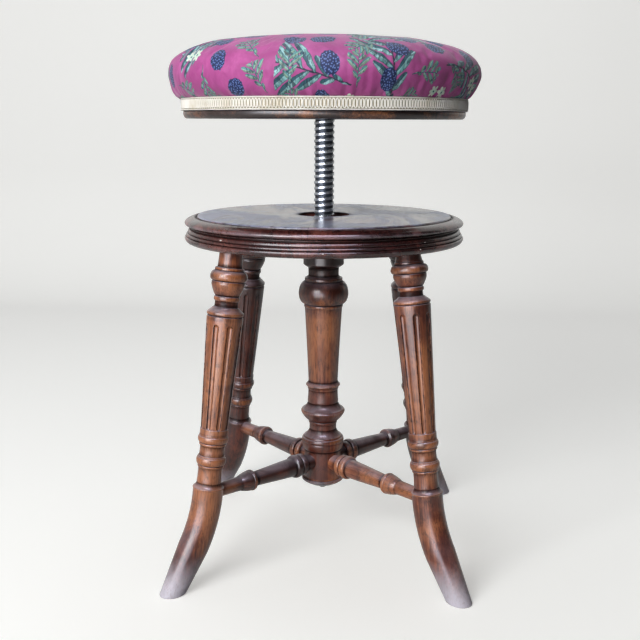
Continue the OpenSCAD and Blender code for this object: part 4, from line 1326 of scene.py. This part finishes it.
under = np.array([[60 * MM, BOARD_TOP], [120 * MM, BOARD_TOP], [SKIRT_IN_R - 1 * MM, BOARD_TOP],
                  [SKIRT_IN_R, BOARD_TOP - 0.5 * MM], [SKIRT_IN_R, SKIRT_LOW + 0.3 * MM],
                  [SKIRT_IN_R + 0.3 * MM, SKIRT_LOW], [SKIRT_R - 0.2 * MM, SKIRT_LOW],
                  [SKIRT_R, SKIRT_LOW + 0.4 * MM], [SKIRT_R, BRAID_TOP - 6 * MM]])
inner = skin(under, fine_angles)
grid = np.concatenate([inner, cover])
mesh = grid_mesh("stuffed_seat", grid, [0, 0, BOARD_TOP], [0, 0, CROWN_TOP])
hem = skin(np.stack([side_length + np.linspace(60 * MM, 2 * MM, len(under)), 0 * under[:, 0]], axis=1),
           fine_angles)
store(mesh, "cloth", np.concatenate([hem.reshape(-1, 3), flat.reshape(-1, 3), [[0.3, 0, 0], [0, 0, 0]]]))

# %% [markdown]
# ## The printed cotton
# The cover is a glazed cotton with leaves, berries and small flowers on a strong pink ground. The print is
# made from shapes that a formula can draw, in coordinates of the flat cloth, so it runs over the folds as
# ink does. Each layer cuts the cloth into irregular cells, gives each cell its own turn and draws one motif
# in it. The motifs are generic: sprays of oval leaves, berry heads and six-petalled blossoms.

# %% Draw the motifs
class Print(Recipe):
    """A recipe that also knows how to draw on flat cloth."""

    def size_of(self, value):
        return self.math("ABSOLUTE", value)

    def cells(self, place_, size, randomness):
        return self.node("TexVoronoi", {"Vector": place_, "Scale": 1 / size, "Randomness": randomness},
                         voronoi_dimensions="2D").outputs

    def cell(self, place_, size, randomness, shift):
        """Place inside the nearest cell, along and across after a random turn, and the cell's own number.

        The cell's middle is taken from the point, and the rest is turned by an angle from the cell's
        colour: along = x cos + y sin, across = y cos - x sin, both in metres."""
        moved = self.vector("ADD", place_, (shift, 0.7 * shift, 0.0))
        made = self.cells(moved, size, randomness)
        chance = self.node("SeparateColor", {"Color": made["Color"]}).outputs
        angle = self.times(chance[0], TURN)
        x, y, _ = self.parts(self.vector("SUBTRACT", moved, made["Position"]))
        cosine, sine = self.math("COSINE", angle), self.math("SINE", angle)
        return (self.add(self.times(x, cosine), self.times(y, sine)),
                self.minus(self.times(y, cosine), self.times(x, sine)), chance[1])

    def spray(self, along_, across, leaf, pitch, reach, lean):
        """Shares from 0 to 1 of a spray of leaves: inside, dark rim, midrib, upper half of a leaf, stem.

        Leaves stand on both sides of a stem every pitch, half a pitch apart. With
        q = (along - lean |across|) / pitch, a leaf's number is floor(q) and the place across the leaf is
        (frac(q) - 1/2) pitch. With t = |across| / leaf, its half width is 0.94 pitch sqrt(t (1 - t)). The
        stem bends by a parabola, and leaves get shorter towards both its ends."""
        bend = self.times(self.math("POWER", self.size_of(along_), 2.0), STEM_BEND)
        across = self.add(across, bend)
        side_ = self.size_of(across)
        odd = self.times(self.math("SIGN", across), 0.25)
        leaning = self.minus(along_, self.times(side_, lean))
        q = self.add(self.math("DIVIDE", leaning, pitch), odd)
        base = self.minus(self.math("FLOOR", q), odd)
        place_ = self.math("DIVIDE", self.times(base, pitch), reach)
        grown = self.times(self.step(place_, -1.0, 0.15), self.step(place_, 1.15, 0.2))
        within = self.math("LESS_THAN", self.size_of(place_), 1.0)
        width = self.swing(self.math("FRACT", q), pitch)
        t = self.math("DIVIDE", side_, self.times(self.add(grown, 0.05), leaf))
        arch = self.math("SQRT", self.math("MAXIMUM", self.times(t, self.minus(1.0, t)), 0.0))
        edge = self.minus(self.times(arch, 0.94 * pitch), self.size_of(width))
        inside = self.times(self.step(edge, 0.0, 0.05 * pitch), within)
        rim = self.times(self.step(edge, 0.16 * pitch, 0.0), inside)
        rib = self.step(self.size_of(width), 0.07 * pitch, 0.02 * pitch)
        upper = self.math("GREATER_THAN", width, 0.0)
        stem = self.times(self.step(side_, 0.09 * pitch, 0.05 * pitch),
                          self.math("LESS_THAN", self.size_of(along_), reach))
        return inside, rim, rib, upper, stem

    def blossom(self, along_, across, size):
        """Inside of a flower of six petals, the shade towards its heart and the heart.

        The petals reach size (0.55 + 0.45 |cos 3a|) at the angle a."""
        distance = self.math("SQRT", self.far(along_, across))
        angle = self.math("ARCTAN2", across, along_)
        petal = self.size_of(self.math("COSINE", self.times(angle, 3.0)))
        reach = self.times(self.add(self.times(petal, 0.45), 0.55), size)
        inside = self.step(self.minus(reach, distance), 0.0, 0.06 * size)
        shade = self.step(self.math("DIVIDE", distance, reach), 0.75, 0.1)
        heart = self.step(distance, 0.2 * size, 0.13 * size)
        return inside, shade, heart

    def berries(self, along_, across, size, berry):
        """Inside of an oval head of berries, its berries as round spots and their small lights."""
        distance = self.math("SQRT", self.far(along_, self.times(across, 1.25)))
        flat_ = self.node("CombineXYZ", {"X": along_, "Y": across}).outputs[0]
        from_berry = self.cells(flat_, berry, 0.75)["Distance"]
        ragged = self.add(distance, self.times(from_berry, 0.14 * size))
        inside = self.step(self.minus(size, ragged), 0.0, 0.05 * size)
        spot, light = self.step(from_berry, 0.42, 0.26), self.step(from_berry, 0.22, 0.12)
        return inside, spot, light


# %% [markdown]
# The print's colours are few: three magentas, greens from teal to mint, and a blue for the berries. Leaves
# are drawn in two tones with a pale midrib and short dark strokes, as an engraver shades them.

# %% Name the print's colours
MAGENTA, MAGENTA_DEEP, MAGENTA_PALE = paint("#c4589d"), paint("#a84284"), paint("#d277b3")
TEAL, TEAL_PALE, TEAL_DARK, INK = paint("#5f9b98"), paint("#a5d3d3"), paint("#2d5f6b"), paint("#1d2c3c")
SAGE, MINT, CREAM_PETAL = paint("#7f9c86"), paint("#c3e6cf"), paint("#e6efdc")
NAVY, BERRY_BLUE, BERRY_LIGHT = paint("#18264f"), paint("#344f92"), paint("#8ea6d0")
SPRAY_CELL, MOTIF_CELL = 88 * MM, 35 * MM
CELLS_WITH_SPRAYS, SMALL_SPRAYS, SPRAYS_AND_BERRIES = 0.92, 0.36, 0.72
BIG_SPRAY = {"leaf": 36 * MM, "pitch": 13.0 * MM, "reach": 44 * MM, "lean": 1.0}
SMALL_SPRAY = {"leaf": 12.5 * MM, "pitch": 6.5 * MM, "reach": 17 * MM, "lean": 0.8}
BERRY_HEAD, BERRY = 13.0 * MM, 2.7 * MM
BLOSSOM, BLOSSOM_ASIDE = 7.2 * MM, 7.8 * MM
STEM_BEND = 2.2
INK_WANDERS = 2.2 * MM
THREAD_PITCH = 0.55 * MM


def leaves(cotton, under, drawn, amount, colors):
    """Puts a spray of leaves over a colour: two-tone blades, a pale midrib, dark outlines and a stem."""
    inside, rim, rib, upper, stem = drawn
    blade = cotton.blend(upper, colors[0], colors[1])
    blade = cotton.blend(cotton.times(rib, 0.5), blade, colors[2])
    strokes = cotton.noise(cotton.stretch(flat_cloth, (330.0, 120.0, 0.0)), 1.0, 4.0, 0.65, 0.8)
    blade = cotton.blend(cotton.step(strokes, 0.47, 0.6, 0.0, 0.8), blade, INK)
    blade = cotton.blend(rim, blade, colors[3])
    under = cotton.blend(cotton.times(stem, amount), under, colors[3])
    return cotton.blend(cotton.times(inside, amount), under, blade)


# %% [markdown]
# The layers are printed from the ground up: a ground with faint washes, large sprays, and then in each of
# the smaller cells a spray, a head of berries or a pair of blossoms. Fine crossed waves stand for the weave.

# %% Print the cotton
cotton = Print("printed_cotton")
flat_cloth = cotton.stored("cloth", "Vector")
wobble = cotton.node("TexNoise", {"Vector": flat_cloth, "Scale": 160.0, "Detail": 2.0}).outputs["Color"]
wobble = cotton.vector("SCALE", cotton.vector("SUBTRACT", wobble, (0.5, 0.5, 0.5)), INK_WANDERS)
drawn_on = cotton.stretch(cotton.vector("ADD", flat_cloth, wobble), (1.0, 1.0, 0.0))
wash = cotton.noise(flat_cloth, 34.0, 4.0, 0.6, 0.5)
color = cotton.blend(cotton.step(wash, 0.3, 0.7), MAGENTA_DEEP, MAGENTA)
color = cotton.blend(cotton.step(wash, 0.55, 0.8, 0.0, 0.6), color, MAGENTA_PALE)

along_, across, chance = cotton.cell(drawn_on, SPRAY_CELL, 0.4, 0.9)
big = cotton.spray(along_, across, **BIG_SPRAY)
tint = cotton.blend(cotton.step(cotton.noise(flat_cloth, 90.0, 3.0), 0.4, 0.62), TEAL, TEAL_PALE)
drawn = cotton.math("LESS_THAN", chance, CELLS_WITH_SPRAYS)
color = leaves(cotton, color, big, drawn, (tint, TEAL_DARK, TEAL_PALE, INK))

along_, across, chance = cotton.cell(drawn_on, MOTIF_CELL, 0.3, 0.31)
small = cotton.spray(along_, across, **SMALL_SPRAY)
drawn = cotton.math("LESS_THAN", chance, SMALL_SPRAYS)
color = leaves(cotton, color, small, drawn, (SAGE, TEAL, MINT, TEAL_DARK))

drawn = cotton.times(cotton.math("GREATER_THAN", chance, SMALL_SPRAYS),
                     cotton.math("LESS_THAN", chance, SPRAYS_AND_BERRIES))
inside, spot, light = cotton.berries(along_, across, BERRY_HEAD, BERRY)
head = cotton.blend(spot, NAVY, BERRY_BLUE)
head = cotton.blend(cotton.times(light, 0.75), head, BERRY_LIGHT)
color = cotton.blend(cotton.times(inside, drawn), color, head)

drawn = cotton.math("GREATER_THAN", chance, SPRAYS_AND_BERRIES)
beside = cotton.minus(cotton.size_of(along_), BLOSSOM_ASIDE)
inside, shade, heart = cotton.blossom(beside, across, BLOSSOM)
petals = cotton.blend(shade, CREAM_PETAL, MINT)
petals = cotton.blend(heart, petals, TEAL_DARK)
color = cotton.blend(cotton.times(inside, drawn), color, petals)

x, y, _ = cotton.parts(cotton.stretch(flat_cloth, (TURN / THREAD_PITCH, TURN / THREAD_PITCH, 0.0)))
relief = cotton.bump(cotton.times(cotton.math("SINE", x), cotton.math("SINE", y)), 0.12, 0.0001)
relief = cotton.bump(cotton.noise(flat_cloth, 220.0, 3.0), 0.25, 0.0004, relief)
cotton.finish(Base_Color=color, Roughness=0.62, Normal=relief, Specular_IOR_Level=0.35, Sheen_Weight=0.25,
              Sheen_Roughness=0.45)
cover_piece = piece(mesh, "seat", cotton.material, ["seat_pad", "seat_cover"], sharp=0)
print("cover points:", len(mesh.vertices))

# %% [markdown]
# ## The gimp braid
# The tacks are hidden by a narrow furnishing braid: a chain of tall oval loops of stiff cord between two
# edge cords, glued to a woven tape. Loops that touch leave slots inside them and small three-cornered holes
# between their rounded ends. Each loop is a little closed tube. There are 283 of them round the seat, made
# all at once as one array, with few faces each.

# %% Loop the braid
LOOPS = 283
LOOP_ROUND, LOOP_SECTION = 18, 5
EDGE_ROUND, TAPE_ROUND = 6, 8
BRAID_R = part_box("gimp_braid")[1].x
BRAID_MIDDLE, BRAID_HALF = (BRAID_LOW + BRAID_TOP) / 2, (BRAID_TOP - BRAID_LOW) / 2
TAPE_IN_R, TAPE_T = 151.55 * MM, 0.9 * MM
CORD_R, EDGE_CORD_R = 0.60 * MM, 0.74 * MM
LOOP_SQUARENESS, CORD_SWELLS = 0.35, 0.08
LOOP_HALF_HIGH = BRAID_HALF - 2 * EDGE_CORD_R - 0.1 * MM


def loops_mesh():
    """Closed tubes along tall ovals, bent round the seat.

    At an angle u the oval's middle line is at (half wide cos u, half high sin u |sin u| ** -squareness),
    and the tube adds a circle of the cord's radius across it. Its place along the braid turns into an angle
    about Z, and its depth into radius."""
    path_r = TAPE_IN_R + TAPE_T + 0.55 * CORD_R
    half_wide = math.pi * path_r / LOOPS - 0.8 * CORD_R
    u = circle(LOOP_ROUND) + math.pi / LOOP_ROUND
    sine = np.sign(np.sin(u)) * np.abs(np.sin(u)) ** (1 - LOOP_SQUARENESS)
    path = np.stack([half_wide * np.cos(u), (LOOP_HALF_HIGH - CORD_R) * sine], axis=1)
    tangent = np.roll(path, -1, axis=0) - np.roll(path, 1, axis=0)
    tangent = tangent / np.linalg.norm(tangent, axis=1)[:, None]
    out = np.stack([tangent[:, 1], -tangent[:, 0]], axis=1)
    v = circle(LOOP_SECTION)
    wide = path[:, None, :] + CORD_R * np.cos(v)[None, :, None] * out[:, None, :]
    depth = CORD_R * np.sin(v)[None, :] * 1.1 + 0 * wide[..., 0]
    angle = circle(LOOPS)[:, None, None] + wide[None, ..., 0] / path_r
    radius = path_r + depth[None] + 0 * angle
    z = BRAID_MIDDLE + wide[None, ..., 1] + 0 * angle
    return radius, angle, z


def tubes(radius, angle, z):
    """Points and quads of many closed tubes whose grids are [tube, round the loop, round the cord]."""
    points = np.stack([radius * np.cos(angle), radius * np.sin(angle), z], axis=-1)
    index = np.arange(radius.size).reshape(radius.shape)
    right = np.roll(index, -1, axis=2)
    quads = np.stack([index, np.roll(index, -1, axis=1), np.roll(right, -1, axis=1), right], axis=-1)
    return points.reshape(-1, 3), quads.reshape(-1, 4)


def edge_cord(z_middle):
    """A twisted cord round the seat: the circle's radius swells and shrinks along it."""
    a = circle(3 * LOOPS)
    v = circle(EDGE_ROUND)
    swell = 1 - CORD_SWELLS + CORD_SWELLS * np.cos(1.5 * LOOPS * a[:, None] - 2 * v[None, :])
    swell = EDGE_CORD_R * swell
    radius = TAPE_IN_R + TAPE_T + 0.25 * EDGE_CORD_R + swell * np.sin(v)[None, :]
    z = z_middle + swell * np.cos(v)[None, :]
    return radius[None], a[None, :, None] + 0 * radius[None], z[None]


def tape():
    """A closed band behind the loops, with soft edges."""
    v = circle(TAPE_ROUND) + math.pi / TAPE_ROUND
    a = circle(LOOPS)
    half = BRAID_HALF - 0.4 * MM
    z = BRAID_MIDDLE + np.clip(half * 1.3 * np.cos(v), -half, half)
    radius = TAPE_IN_R + TAPE_T / 2 + TAPE_T / 2 * np.clip(1.4 * np.sin(v), -1, 1)
    shape = (len(a), len(v))
    return (np.broadcast_to(radius, shape)[None], np.broadcast_to(a[:, None], shape)[None],
            np.broadcast_to(z, shape)[None])


parts, faces, raised, total = [], [], [], 0
for grids, height_ in ((loops_mesh(), 1.0), (edge_cord(BRAID_LOW + EDGE_CORD_R), 0.9),
                       (edge_cord(BRAID_TOP - EDGE_CORD_R), 0.9), (tape(), 0.0)):
    points, quads = tubes(*grids)
    parts.append(points)
    faces.append(quads + total)
    raised.append(np.full(len(points), height_))
    total += len(points)
points = np.concatenate(parts)
mesh = raw_mesh("gimp_loops", points, np.concatenate(faces))
store(mesh, "raised", np.concatenate(raised))

# %% [markdown]
# The cord is cream cotton over a stiff core, and the tape behind it, which shows in the slots, is a darker
# tan. It has a faint sheen, like all mercerised cotton.

# %% Dye the braid
gimp = Recipe("gimp_cotton")
soil = gimp.noise(gimp.here(), 40.0, 3.0, 0.6)
fibre = gimp.noise(gimp.here(), 2600.0, 1.0)
cord = gimp.blend(gimp.step(soil, 0.45, 0.8), paint("#f8f3e8"), paint("#e2d7bf"))
color = gimp.blend(gimp.step(gimp.stored("raised"), 0.1, 0.8), paint("#a59879"), cord)
gimp.finish(Base_Color=color, Roughness=0.6, Normal=gimp.bump(fibre, 0.3, 0.0001), Sheen_Weight=0.3,
            Sheen_Roughness=0.4)
piece(mesh, "seat", gimp.material, ["gimp_braid"], sharp=0)
print("braid radius:", round(float(np.hypot(points[:, 0], points[:, 1]).max()) / MM, 2), "mm, CAD",
      round(BRAID_R / MM, 2))
